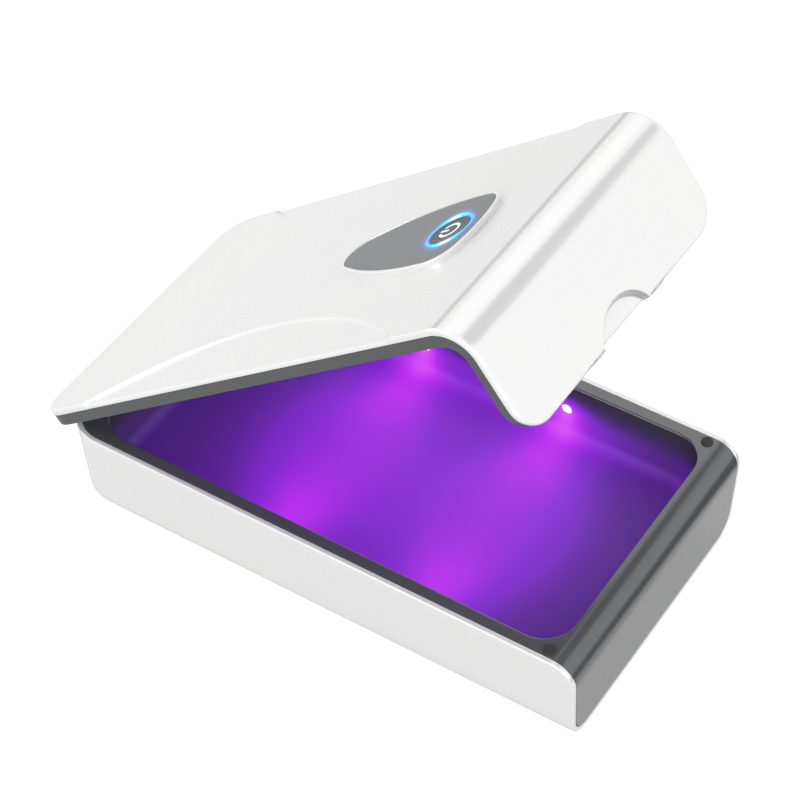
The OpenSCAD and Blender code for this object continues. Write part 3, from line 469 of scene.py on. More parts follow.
def boardLaminate():
    # glass epoxy laminate under green solder resist: the weave shows through faintly
    material, tree, shader = startMaterial("solder_resist_laminate", IOR=1.5)
    place = addNode(tree, "ShaderNodeTexCoord").outputs["Object"]
    weave = addNode(tree, "ShaderNodeTexChecker", {"Vector": place, "Scale": 1 / (0.8 * mm),
                                                   "Color1": srgb("#1F5C3A"), "Color2": srgb("#24653F")})
    fine = addNode(tree, "ShaderNodeTexNoise", {"Vector": place, "Scale": 1 / (0.4 * mm)}).outputs["Fac"]
    rough = addNode(tree, "ShaderNodeMapRange", {"Value": fine, "To Min": 0.25, "To Max": 0.4})
    bump = addNode(tree, "ShaderNodeBump", {"Height": fine, "Distance": 0.01 * mm})
    setInputs(tree, shader, {"Base Color": weave.outputs["Color"], "Roughness": rough.outputs["Result"],
                             "Normal": bump.outputs["Normal"]})
    return material


def chipEpoxy():
    # epoxy moulding compound, transfer moulded: matt near-black
    material, tree, shader = startMaterial("black_moulded_epoxy", IOR=1.55)
    plasticNodes(tree, shader, ("#1E1E20", "#262628"), 0.2, 0.01, (0.5, 0.62))
    return material


def ribbonFilm():
    # polyester film over flat copper, laminated: pale and glossy
    material, tree, shader = startMaterial("laminated_polyester_film", IOR=1.6)
    plasticNodes(tree, shader, ("#E4E2DA", "#ECEAE4"), 0.6, 0.004, (0.25, 0.35))
    return material


# the white housing, in mm: its plan is square in front and round behind, its walls lean out by
# lean mm for each mm of height, and its upper edge rolls down at the front; rimRead is how far in
# from the face the rim's height is read, and spineEnd how far before the corners the spine ends
base = dict(length=208.0, halfWidth=60.0, wall=2.0, lean=3.3 / 39, footRadius=10.0, planRadius=15.0,
            frontBend=9.5, seam=0.1, edge=0.6, innerEdge=0.25, rimRead=0.3, spineEnd=20.0)
backY = frontY + base["length"]

# the hinge, in mm: each slot holds a knuckle with room for a washer at either end of it, and lies
# between two ears of the tub
hinge = dict(place=34.0, knuckle=16.0, radius=3.2, clear=0.4, washer=0.7, ear=4.0, pastBack=2.0, pastRim=3.0)
slotHalf = hinge["knuckle"] / 2 + hinge["clear"] + hinge["washer"]


def slotForm(side):
    # the block cut for a hinge slot, from below the axis out through the back and the rim
    x, deep = side * hinge["place"], hinge["radius"] + hinge["clear"]
    return blockForm((x - slotHalf, hingeY - deep, hingeZ - deep),
                     (x + slotHalf, backY + hinge["pastBack"], rimZ + hinge["pastRim"]))


def rimHeight(y):
    # height of the base's upper edge along y: level, a quarter circle down at the front, and
    # round the hinge's axis behind it so that the lid can turn
    r = base["frontBend"]
    f = np.clip(frontY + r - y, 0, r)
    front = rimZ - r + np.sqrt(np.maximum(r * r - f * f, 0))
    b = np.clip(y - hingeY, 0, tub["backRoll"] - 0.01)
    back = hingeZ + np.sqrt(tub["backRoll"] ** 2 - b * b)
    return np.where(y > hingeY, back, front)


def wallHeight(y):
    # where the base's wall ends, below the round of its edge
    r, e = base["frontBend"], base["edge"]
    f = np.clip(frontY + r - y, 0, r - e)
    level = rimZ - r + np.sqrt(np.maximum((r - e) ** 2 - f * f, 0))
    return np.minimum(level, rimHeight(y) - e)


def baseColumns():
    # the base's outline from the front left corner round the back to the front right one:
    # places, outward directions and the places on the middle line they lead in to
    r, half, bend = base["planRadius"], base["halfWidth"], base["frontBend"]
    roll = frontY + bend - (bend - base["edge"]) * np.cos(np.linspace(0, math.pi / 2, 12))
    straight = np.concatenate([roll, np.linspace(frontY + bend, backY - r, 46)[1:]])
    left = np.column_stack([np.full(len(straight), -half), straight])
    corner = arcPoints((-half + r, backY - r), r, math.pi, math.pi / 2, 19)
    backX = np.linspace(-half + r, half - r, 40)[1:-1]
    back = np.column_stack([backX, np.full(len(backX), backY)])
    halfPath = np.concatenate([left, corner])
    halfNormal = np.concatenate([np.tile([-1.0, 0], (len(left), 1)),
                                 arcPoints((0, 0), 1, math.pi, math.pi / 2, 19)])
    mirror = np.array([-1, 1])
    path = np.concatenate([halfPath, back, halfPath[::-1] * mirror])
    normal = np.concatenate([halfNormal, np.tile([0, 1.0], (len(back), 1)), halfNormal[::-1] * mirror])
    spine = np.column_stack([np.zeros(len(path)), np.minimum(path[:, 1], backY - r - base["spineEnd"])])
    return path, normal, spine


def wallProfile(depth):
    # (inset, height) of the base's section, depth inside its face: the end of the flat
    # underside, and the arc of the lower edge up to the leaning wall
    r = base["footRadius"] - depth
    wallLean = math.atan(base["lean"])
    run = r / math.tan((math.pi / 2 + wallLean) / 2)
    corner = depth + base["lean"] * (rimZ - underZ - depth)
    bottom = (corner + run, underZ + depth)
    a = np.linspace(0, math.pi / 2 - wallLean, 12)
    return bottom, np.array([(bottom[0] - r * math.sin(v), bottom[1] + r - r * math.cos(v)) for v in a])


def baseSkin(depth):
    # one skin of the base as a grid: rows from the middle line across the underside, round
    # the lower edge and up the leaning wall
    path, normal, spine = baseColumns()
    bottom, fillet = wallProfile(depth)
    edge = path - normal * bottom[0]
    rows = [(spine + (edge - spine) * t, bottom[1]) for t in np.linspace(0, 1, 9)[:-1]]
    rows += [(path - normal * i, z) for i, z in fillet]
    i0, z0 = fillet[-1]
    high = wallHeight((path - normal * (depth + base["rimRead"]))[:, 1])
    for t in np.linspace(0, 1, 12)[1:]:
        z = z0 + (high - z0) * t
        rows.append((path - normal * (i0 - (z - z0) * base["lean"])[:, None], z))
    grid = levelRows(rows)
    grid[..., 1] = np.maximum(grid[..., 1], frontY + base["edge"])
    return grid


def makeBaseShell(material):
    # the white housing: outer and inner skins joined round the open front and the rim
    outer, inner = baseSkin(0), baseSkin(base["wall"])
    rows, cols = outer.shape[:2]
    left = [(i, 0) for i in range(rows)]
    along = [(rows - 1, j) for j in range(1, cols)]
    right = [(i, cols - 1) for i in range(rows - 2, -1, -1)]
    border = np.array([i * cols + j for i, j in left + along + right])
    a, b = outer.reshape(-1, 3)[border], inner.reshape(-1, 3)[border]
    # the rim's outward direction: forwards at the open front, up along the sides, and turning
    # from one to the other round the front bend
    outward = np.zeros_like(a)
    outward[:rows - 1, 1] = outward[-(rows - 1):, 1] = -1
    level = slice(rows - 1, -(rows - 1))
    r = base["frontBend"] - base["edge"]
    gapY = np.clip(frontY + base["frontBend"] - a[level][:, 1], 0, r)
    outward[level, 1] = -gapY / r
    outward[level, 2] = np.sqrt(np.maximum(1 - (gapY / r) ** 2, 0))
    rims = rimRows(a, b, outward, base["edge"], base["innerEdge"])
    points, faces = closeSheet(outer, inner, border, rims, closedLoop=False)
    return makePiece("base_housing", points, faces, material, "base", "shell", ["base_shell"],
                     cutters=[slotForm(-1), slotForm(1), socketForm()])


socket = dict(clear=0.3, through=8.0)       # mm round the power socket, and into and out of the back wall


def socketForm():
    # a lying rod with round ends, a little larger than the power socket, through the back wall
    low, high = boxOf("power_socket")[:2]
    r = (high[2] - low[2]) / 2 + socket["clear"]
    half = (high[0] - low[0]) / 2 + socket["clear"] - r
    z = (high[2] + low[2]) / 2
    a = np.linspace(0, math.pi, 17)
    ring = [(side * (half + r * math.sin(v)), z + side * r * math.cos(v)) for side in (1, -1) for v in a]
    n = len(ring)
    ends = (high[1] - socket["through"], high[1] + socket["through"])
    points = [(x, y, zz) for y in ends for x, zz in ring]
    faces = gridFaces(2, n, wrap=True).tolist() + [list(range(n)), list(range(2 * n - 1, n - 1, -1))]
    return np.array(points), faces


# the grey tub, in mm: the rim's width at the sides, front and back, the chamber's depth and
# corners, the lean of its walls, the rounds of its mouth, its floor and the rim's back, and the
# share of its quarter circle that the foot of the front face turns
tub = dict(rimSide=6.8, rimFront=10.0, rimBack=11.0, depth=21.3, corner=12.0, lean=2.6 / 21.3, wall=1.8,
           mouthRound=0.8, frontMouthRound=0.4, floorRound=4.5, rimThickness=2.0, backRoll=7.5,
           footShare=0.94)
# the windows in the chamber's long walls, in mm: below the rim, behind the front, from one to
# the next, the opening's width, its bore's length and how far inside the mouth that is centred
lights = dict(drop=11.0, front=66.0, pitch=60.0, mouth=4.2, bore=8.0, inset=1.3)
chamberHalf = base["halfWidth"] - tub["rimSide"]
floorZ = rimZ - tub["depth"]
lightZ = rimZ - lights["drop"]
lightY = [frontY + lights["front"], frontY + lights["front"] + lights["pitch"]]


def inChamber(points, margin):
    # whether a place lies within the chamber's mouth, seen from above, with a margin
    x, y = points[:, 0], points[:, 1]
    behindFront = y > frontY + tub["rimFront"] - margin
    return (np.abs(x) < chamberHalf + margin) & behindFront & (y < backY - tub["rimBack"] + margin)


def mouthColumns():
    # the chamber's mouth once round from the front middle: places, outward directions, the
    # matching places on the outer edge of the rim and on the middle line of the floor, and
    # how many columns lie between the front middle and the front corner
    half, r = chamberHalf, tub["corner"]
    y0, y1 = frontY + tub["rimFront"], backY - tub["rimBack"]
    t = base["wall"] + base["seam"]
    outX, bendY = base["halfWidth"] - t, frontY + base["frontBend"]
    backR = base["planRadius"] - t
    backX, backCentre = base["halfWidth"] - base["planRadius"], backY - base["planRadius"]
    quarterTurn = math.pi / 2
    k, f, s = 16, 30, 62        # columns round a corner, along half the front and along a side

    def straight(p, q, n):
        return np.linspace(p, q, n + 1)[1:]

    mouth = [straight((0, y0), (half - r, y0), f), arcPoints((half - r, y0 + r), r, -quarterTurn, 0, k),
             straight((half, y0 + r), (half, y1 - r), s), arcPoints((half - r, y1 - r), r, 0, quarterTurn, k),
             straight((half - r, y1), (0, y1), f)]
    outer = [straight((0, bendY), (half - r, bendY), f), straight((half - r, bendY), (outX, bendY), k // 2),
             straight((outX, bendY), (outX, y0 + r), k // 2), straight((outX, y0 + r), (outX, backCentre), s),
             arcPoints((backX, backCentre), backR, 0, quarterTurn, k),
             straight((backX, backY - t), (0, backY - t), f)]
    normal = [np.tile([0, -1.0], (f, 1)), arcPoints((0, 0), 1, -quarterTurn, 0, k), np.tile([1.0, 0], (s, 1)),
              arcPoints((0, 0), 1, 0, quarterTurn, k), np.tile([0, 1.0], (f, 1))]

    def whole(first, runs):
        side = np.concatenate(runs)
        return np.concatenate([[first], side, (side[:-1] * np.array([-1, 1]))[::-1]])

    mouth, outer, normal = whole((0, y0), mouth), whole((0, bendY), outer), whole((0, -1.0), normal)
    spine = np.column_stack([np.zeros(len(mouth)), np.clip(mouth[:, 1], y0 + half, y1 - half)])
    return mouth, outer, normal, spine, f + k // 2


def chamberSkins():
    # the tub's seen and hidden skins as grids: floor, round floor edge, leaning walls, round
    # mouth and the rim out to its edge, each row once round
    mouth, outer, normal, spine, cornerIndex = mouthColumns()
    lean, t, rf = tub["lean"], tub["wall"], tub["floorRound"]
    under = rimZ - tub["rimThickness"]
    wallAngle = math.atan(lean)
    floorInset = lean * tub["depth"] + rf / math.tan((math.pi / 2 + wallAngle) / 2)
    m = np.where(normal[:, 1] < -0.5, tub["frontMouthRound"], tub["mouthRound"])
    seen, hidden = [], []

    def addRow(inset, z, hiddenInset, hiddenZ):
        for rows, i, height in ((seen, inset, z), (hidden, hiddenInset, hiddenZ)):
            rows.append((mouth - normal * np.reshape(i, (-1, 1)), height))

    edge = mouth - normal * floorInset
    for k in np.linspace(0, 1, 22)[:-1]:
        seen.append((spine + (edge - spine) * k, floorZ))
        hidden.append((spine + (edge - spine) * k, floorZ - t))
    for a in np.linspace(0, math.pi / 2 - wallAngle, 10):
        sn, cs = math.sin(a), math.cos(a)
        addRow(floorInset - rf * sn, floorZ + rf - rf * cs,
               floorInset - (rf + t) * sn, floorZ + rf - (rf + t) * cs)
    z0 = floorZ + rf - rf * math.cos(math.pi / 2 - wallAngle)
    for k in np.linspace(0, 1, 14)[1:]:
        z = z0 + (rimZ - m - z0) * k
        addRow(lean * (rimZ - z), z, lean * (rimZ - z) - t, np.minimum(z, under))
    for a in np.linspace(0, math.pi / 2, 6)[1:]:
        addRow(lean * m - m * (1 - math.cos(a)), rimZ - m + m * math.sin(a), lean * m - t, under)
    lip = mouth - normal * (lean * m - m)[:, None]
    hiddenLip = mouth - normal * (lean * m - t)[:, None]
    for k in np.linspace(0, 1, 14)[1:]:
        flat, hiddenFlat = lip + (outer - lip) * k, hiddenLip + (outer - hiddenLip) * k
        seen.append((flat, rimHeight(flat[:, 1])))
        hidden.append((hiddenFlat, rimHeight(hiddenFlat[:, 1]) - tub["rimThickness"]))
    return levelRows(seen), levelRows(hidden), cornerIndex


def frontFace(line, inset):
    # the front face as a grid below the rim's front line: a quarter circle down, then upright,
    # narrower with the leaning sides and round at their feet, inset behind the outer face
    bend, seam = base["frontBend"], base["wall"] + base["seam"]
    low, footRadius = underZ + seam, base["footRadius"] - seam
    height = rimZ - bend - low
    arcs = np.linspace(0, math.pi / 2, 16)[1:]
    down = np.concatenate([np.linspace(0, height - footRadius, 10)[1:],
                           height - footRadius
                           + footRadius * np.sin(np.linspace(0, math.pi / 2, 14)[1:] * tub["footShare"])])
    share = line[:, 0] / line[-1, 0]

    def row(y, z):
        rise = np.clip(low + footRadius - z, 0, footRadius)
        wide = base["halfWidth"] - seam - base["lean"] * (rimZ - z)
        wide = wide - (footRadius - np.sqrt(np.maximum(footRadius ** 2 - rise ** 2, 0)))
        return np.column_stack([share * wide, np.full(len(share), y), np.full(len(share), z)])

    r = bend - inset
    rows = [row(frontY + bend - r * math.sin(a), rimZ - bend + r * math.cos(a)) for a in arcs]
    return rows + [row(frontY + inset, rimZ - bend - d) for d in down]


def makeTub(material, rimMaterial):
    # the grey tub: its chamber and rim, and in front the rim rolls over into the front face; a
    # second skin behind it and strips round the edges close the solid
    visible, hidden, cornerIndex = chamberSkins()
    n = visible.shape[1]
    front = np.concatenate([np.arange(n - cornerIndex, n), np.arange(0, cornerIndex + 1)])
    line = visible[-1][front]
    face = np.array([line] + frontFace(line, 0))
    rear = np.array([hidden[-1][front]] + frontFace(line, tub["rimThickness"]))
    parts = [(visible.reshape(-1, 3), gridFaces(len(visible), n, wrap=True)),
             (hidden.reshape(-1, 3), gridFaces(len(hidden), n, wrap=True)[:, ::-1]),
             (face.reshape(-1, 3), gridFaces(*face.shape[:2])),
             (rear.reshape(-1, 3), gridFaces(*rear.shape[:2])[:, ::-1])]
    # the closing strip: round the sides and back, down one side of the face and up the other
    back = np.arange(cornerIndex, n - cornerIndex + 1)
    strip = np.array([np.concatenate([skin[-1][back], sheet[1:, 0], sheet[-1][1:], sheet[::-1, -1][1:]])
                      for skin, sheet in ((visible, face), (hidden, rear))])
    parts.append((strip.reshape(-1, 3), gridFaces(2, strip.shape[1])))
    bore = roundedRod(lights["mouth"] / 2, lights["bore"], 0.05)
    cutters, ears = [], []
    for side in (-1, 1):
        x = side * (chamberHalf - lights["inset"]) - lights["bore"] / 2
        cutters += [turned(bore, (x, y, lightZ), axis="x", steps=48) for y in lightY]
        cutters.append(slotForm(side))
        ears += [earForm(side * hinge["place"] + s * (slotHalf + hinge["ear"] / 2)) for s in (-1, 1)]
    piece = makePiece("chamber_tub", *joinParts(parts), material, "base", "liner", ["inner_tub"],
                      cutters=cutters, added=ears)
    # painted violet light: the windows' light on the chamber, painted on as emission
    setAttribute(piece, "uvGlow", violetLight(placesOf(piece), vectorsOf(piece, "normal")))
    # the rim, the front face and the hidden back are lacquered, the chamber is matt
    centres = np.array([face.center for face in piece.data.polygons]) / mm
    matt = (centres[:, 2] < rimZ - 0.5) & inChamber(centres, 0.3)
    piece.data.materials.append(rimMaterial)
    piece.data.polygons.foreach_set("material_index", np.where(matt, 0, 1).astype(np.int32))
    return piece


ear = dict(wall=0.8, behind=0.6, shoulder=4.5, below=1.2, ahead=0.5, edge=0.2)      # mm


def earForm(x):
    # one ear beside a hinge slot: half round below the axis, square up to the rim
    r = hinge["radius"] + ear["wall"]
    angle = np.radians(np.linspace(180, 360, 20))
    frontEnd, top = backY - tub["rimBack"] + ear["ahead"], rimZ - ear["below"]
    outline = [(hingeY + r * math.cos(v), hingeZ + r * math.sin(v)) for v in angle]
    outline += [(hingeY + r, rimZ - ear["shoulder"]), (hingeY, top), (frontEnd, top), (frontEnd, hingeZ)]
    wallY = backY - base["wall"] - base["seam"] - ear["behind"]
    half, edge = hinge["ear"] / 2, ear["edge"]
    outline = [(min(y, wallY), z) for y, z in outline]
    return carried(outline, [x - half, x - half + edge, x + half - edge, x + half], [edge, 0, 0, edge])


# the violet light painted into the chamber, sizes in mm: what every place and the floor get
# at least, then from each window a beam straight ahead, a pool below it and a bright rim round
# it, and how far below the rim it starts and over what height it fades in
violet = dict(everywhere=0.05, floor=0.08, floorHeight=5, turnedAway=0.25, sideways=0.06, beamPower=5,
              beam=2000, evenOut=220, pool=3.0, poolPower=4, poolSize=15, rim=2.6, rimSize=3, near=2.0,
              inset=1.0, raised=1.0, exposure=0.9, rimDark=0.3, fade=14)


def violetLight(points, normal):
    # painted light that each place gets from the four windows: the cosine at the surface, a
    # beam that is stronger straight ahead, and the square of the distance, then 1 - exp(-light)
    total = violet["everywhere"] + violet["floor"] * softStep((floorZ + violet["floorHeight"] - points[:, 2])
                                                              / violet["floorHeight"])
    for side in (-1, 1):
        for y in lightY:
            ray = points - np.array([side * (chamberHalf - violet["inset"]), y, lightZ + violet["raised"]])
            away = np.linalg.norm(ray, axis=1)
            size = away + violet["near"]
            ray = ray / size[:, None]
            ahead = np.clip(-side * ray[:, 0], 0, 1)
            below = np.clip(-ray[:, 2], 0, 1)
            facing = violet["turnedAway"] + (1 - violet["turnedAway"]) * np.clip(-(ray * normal).sum(1), 0, 1)
            total += (facing * (violet["sideways"] + ahead ** violet["beamPower"]) * violet["beam"]
                      / (size ** 2 + violet["evenOut"]))
            total += violet["pool"] * below ** violet["poolPower"] * np.exp(-away / violet["poolSize"])
            total += violet["rim"] * np.exp(-away / violet["rimSize"])
    inside = softStep((rimZ - violet["rimDark"] - points[:, 2]) / violet["fade"]) * inChamber(points, 0.1)
    return np.clip(1 - np.exp(-total * violet["exposure"]), 0, 1) * inside


# the lid, in mm: a sheet that runs from the back edge over the bend down the apron, with a white
# skin over a grey liner
lid = dict(length=216.0, overhang=1.5, gap=0.8, skin=2.4, apronSkin=2.0, linerDepth=4.6, apronLiner=3.5,
           apronHeight=44.1, bend=14.0, corner=12.0, edge=0.9, innerEdge=0.3)
# the sunk fields at the sides, and the finger scoop in the apron's lower edge
field = dict(start=26.5, length=160.0, reach=26.7, drop=0.8, soft=0.9)
scoop = dict(width=30.0, height=9.7, depth=2.6, wall=1.0, soft=2.6)
lidBackY = backY + lid["overhang"]
lidFrontY = lidBackY - lid["length"]
lidTopZ = rimZ + lid["gap"] + lid["linerDepth"] + lid["skin"]
topRun = lid["length"] - lid["bend"]
bendRun = lid["bend"] * math.pi / 2
lidRun = topRun + bendRun + lid["apronHeight"] - lid["bend"]
fieldHalf = field["length"] / 2
fieldRadius = (fieldHalf ** 2 + field["reach"] ** 2) / (2 * field["reach"])
fieldMiddle = field["start"] + fieldHalf
fieldCentreX = base["halfWidth"] - field["reach"] + fieldRadius
scoopRadius = (scoop["width"] ** 2 / 4 + scoop["height"] ** 2) / (2 * scoop["height"])
scoopCentre = scoop["height"] - scoopRadius             # above the apron's lower edge


def lidPoint(s, x, depth):
    # a place on the bent sheet: s runs from the back edge over the bend down the apron, x
    # across, depth inwards; flat, then a quarter circle, then flat
    s, x, depth = np.broadcast_arrays(np.asarray(s, float), x, depth)
    turn = np.clip((s - topRun) / lid["bend"], 0, math.pi / 2)
    over = np.clip(s - topRun - bendRun, 0, None)
    before = np.clip(s, None, topRun)
    r = lid["bend"] - depth
    y = lidBackY - before - r * np.sin(turn)
    z = lidTopZ - lid["bend"] + r * np.cos(turn) - over
    return np.stack([x, y, z], -1)


def lidOutward(s, ns, nx):
    # a direction in the sheet, (ns along, nx across), as a direction in space
    turn = np.clip((s - topRun) / lid["bend"], 0, math.pi / 2)
    return np.stack([nx, -ns * np.cos(turn), -ns * np.sin(turn)], -1)


def towardApron(s):
    # 0 on the flat top, 1 on the apron, and a soft step over the bend
    return softStep((s - topRun) / bendRun)


def halfAcross(s, inset):
    # half the lid's width at s, with its round corners, drawn in by inset
    r = lid["corner"] - inset
    gap = np.maximum(lid["corner"] - np.minimum(s, lidRun - s), 0)
    return base["halfWidth"] - lid["corner"] + np.sqrt(np.maximum(r * r - gap * gap, 0))


def scoopDepth(s, x):
    # how far the finger scoop goes in: a sloped wall inside its arc, then a flat floor
    away = np.hypot(x, (lidRun - s) - scoopCentre) - scoopRadius
    return scoop["depth"] * softStep(-away / scoop["soft"])


def outerDepth(s, x):
    # how far the white skin lies below the plain sheet: the side fields and the scoop
    away = np.hypot(np.abs(x) - fieldCentreX, s - fieldMiddle) - fieldRadius
    return field["drop"] * (1 - softStep(away / field["soft"] + 0.5)) + scoopDepth(s, x)


def innerDepth(s, x):
    # the skin's inner face, which bulges behind the scoop
    t = towardApron(s)
    plain = lid["skin"] * (1 - t) + lid["apronSkin"] * t
    return np.maximum(plain, scoopDepth(s, x) + scoop["wall"])


def scoopPaintedShade(points):
    # painted shade on the scoop's wall: 1 on the wall, where its own edge takes the light from
    # it, and 0 on its floor and outside: 4q(1 - q) for a place at a share q of the scoop's depth
    s = topRun + bendRun + (lidTopZ - lid["bend"]) - points[:, 2]
    share = scoopDepth(s, points[:, 0]) / scoop["depth"]
    front = (points[:, 1] < lidFrontY + scoop["depth"] + 0.1) & (points[:, 2] < lidTopZ - lid["bend"])
    return 4 * share * (1 - share) * front


# the lid's grid, in mm and in numbers of rows and columns: columns gather beside the line of a
# side field, and from the bend down round the scoop, whose arc the last rows follow
lidMesh = dict(middle=24, outside=14, beside=(-0.9, -0.62, -0.42, -0.22, 0, 0.22, 0.42, 0.62, 0.9),
               margin=1.2, fieldEnd=10, gather=14, inScoop=3, pastScoop=1, tail=26, lead=5, aboveRows=9,
               wallRows=10, lowest=2.6, start=0.3, end=1.5, follow=20, blend=16)


def lidRows(inset):
    # places along the lid: close at the corners, the ends of the side fields and the bend
    r = lid["corner"] - inset
    near = lidMesh["fieldEnd"]
    f0, f1 = field["start"], field["start"] + field["length"]
    stops = [(lid["corner"], f0, 8), (f0, f0 + near, 12), (f0 + near, f1 - near, 60), (f1 - near, f1, 12),
             (f1, topRun, 9), (topRun, topRun + bendRun, 19)]
    corner = lid["corner"] - r * np.cos(np.linspace(0, math.pi / 2, 12))
    return np.concatenate([corner] + [np.linspace(a, b, n)[1:] for a, b, n in stops])


def lidColumns(rows, width):
    # places across the lid for each row: beside the field's line on the top, gathered round
    # the scoop on the apron, and a soft step between the two over the bend
    inside = np.maximum(fieldRadius ** 2 - (rows - fieldMiddle) ** 2, 0)
    line = np.where(np.abs(rows - fieldMiddle) < fieldHalf, fieldCentreX - np.sqrt(inside), math.inf)
    m = lidMesh["margin"]
    line = np.minimum(line, width - 2 * m)[:, None]
    width = width[:, None]
    middle, outside = (np.linspace(0, 1, lidMesh[part])[None, :] for part in ("middle", "outside"))
    top = np.concatenate([middle * (line - m), line + lidMesh["beside"],
                          line + m + (width - line - m) * outside], 1)
    w, past = scoop["width"] / 2, lidMesh["pastScoop"]
    gather = np.concatenate([np.linspace(0, w - lidMesh["inScoop"], lidMesh["gather"]),
                             np.linspace(w - lidMesh["inScoop"], w + past, lidMesh["gather"])[1:]])
    rest = np.linspace(0, 1, top.shape[1] - len(gather) + 1)[1:][None, :]
    apron = np.concatenate([np.repeat(gather[None, :], len(rows), 0),
                            w + past + (width - w - past) * rest], 1)
    t = towardApron(rows)[:, None]
    half = top * (1 - t) + apron * t
    return np.concatenate([-half[:, :0:-1], half], 1)


def scoopRows(x, plain, inset):
    # heights above the apron's edge of the last rows: above the scoop's arc, down its soft
    # wall and on to the edge, and plain rows to either side of it
    arc = scoopCentre + np.sqrt(np.maximum(scoopRadius ** 2 - x ** 2, 0))
    arc = np.maximum(np.where(np.abs(x) < scoop["width"] / 2, arc, 0), lidMesh["lowest"])[:1]
    soft, start = scoop["soft"], lidMesh["start"]
    highest = lidRun - topRun - bendRun - lidMesh["end"]
    above = arc + start + (highest - arc - start) * np.linspace(1, 0, lidMesh["aboveRows"])[:, None]
    wall = arc - np.linspace(0, soft, lidMesh["wallRows"])[:, None]
    left = lidMesh["tail"] - lidMesh["aboveRows"] - lidMesh["wallRows"]
    below = (arc - soft) + (inset - arc + soft) * np.linspace(0, 1, left + 1)[1:, None]
    mix = softStep((np.abs(x) - lidMesh["follow"]) / lidMesh["blend"])
    return np.concatenate([above, wall, below]) * (1 - mix) + plain[:, None] * mix


def lidGrid(inset):
    # s and x of a grid over the whole lid, drawn in by inset: its columns follow the arcs of
    # the side fields and its last rows the arc of the scoop, so both keep a crisp line
    tail, lead = lidMesh["tail"], lidMesh["lead"]
    r = lid["corner"] - inset
    corner = lid["corner"] - r * np.cos(np.linspace(math.pi / 2, 0, tail - lead))
    plain = np.concatenate([np.linspace(lidRun - topRun - bendRun, lid["corner"], lead + 2)[1:-1], corner])
    rows = np.concatenate([lidRows(inset), lidRun - plain])
    x = lidColumns(rows, halfAcross(rows, inset))
    s = np.repeat(rows[:, None], x.shape[1], 1)
    s[-tail:] = lidRun - scoopRows(x[-tail:], plain, inset)
    return s, x


def lidBorder(s, x):
    # the grid's border once round, its s and x, and for each point of it the direction out of
    # the sheet's edge
    rows, cols = s.shape
    top = [(0, j) for j in range(cols)]
    right = [(i, cols - 1) for i in range(1, rows)]
    bottom = [(rows - 1, j) for j in range(cols - 2, -1, -1)]
    left = [(i, 0) for i in range(rows - 2, 0, -1)]
    border = np.array([i * cols + j for i, j in top + right + bottom + left])
    bs, bx = s.reshape(-1)[border], x.reshape(-1)[border]
    c = lid["corner"]
    ns, nx = bs - np.clip(bs, c, lidRun - c), bx - np.clip(bx, c - base["halfWidth"], base["halfWidth"] - c)
    size = np.hypot(ns, nx)
    return border, bs, bx, lidOutward(bs, ns / size, nx / size)


def makeLidShell(material):
    # the bent white skin with its side fields and finger scoop, closed round its edge, and the
    # raised border of the control island on it
    s, x = lidGrid(lid["edge"])
    outer = lidPoint(s, x, outerDepth(s, x))
    inner = lidPoint(s, x, innerDepth(s, x))
    border, bs, bx, outward = lidBorder(s, x)
    rims = rimRows(outer.reshape(-1, 3)[border], inner.reshape(-1, 3)[border], outward, lid["edge"],
                   lid["innerEdge"])
    points, faces = closeSheet(outer, inner, border, rims)
    raised = islandBorder()
    past = island["wellPast"]
    well = turned(roundedRod(ringOut + island["well"], lid["skin"] + 2 * past, 0.2),
                  (0, buttonY, lidTopZ - lid["skin"] - past))
    piece = makePiece("lid_skin", turnLid(points), faces, material, "lid", "shell", ["lid_shell"],
                      cutters=[(turnLid(well[0]), well[1])], added=[(turnLid(raised[0]), raised[1])])
    # painted shade on the finger scoop's wall, which the white material darkens
    setAttribute(piece, "paintedShade", scoopPaintedShade(closedLid(placesOf(piece))))
    return piece


# the control island, in mm: three long arcs joined by three corner arcs, a thin white rim with a
# waist below it, and the panel sunk into it
island = dict(buttonBack=168.7, height=2.4, rim=1.2, round=0.3, waist=0.55, corner=9.5, sideRadius=93.0,
              frontRadius=49.0, half=9.7, length=41.1, front=2.3, sink=0.3, panel=1.2, gap=0.12, foot=0.6,
              panelEdge=0.22, panelHole=0.05, well=1.5, wellPast=1, lip=0.25, lipMiddle=0.07, step=0.15,
              flank=0.9)
button = dict(diameter=15.4, gap=0.15, ring=1.5, edge=0.35, dish=0.12, dishRun=2.0, height=2.4, skirt=0.2,
              stemRadius=2.0, stem=2.3, stemFoot=4.6)
buttonY = lidBackY - island["buttonBack"]
panelTopZ = lidTopZ + island["height"] - island["sink"]
ringIn = button["diameter"] / 2 + button["gap"]
ringOut = ringIn + button["ring"]


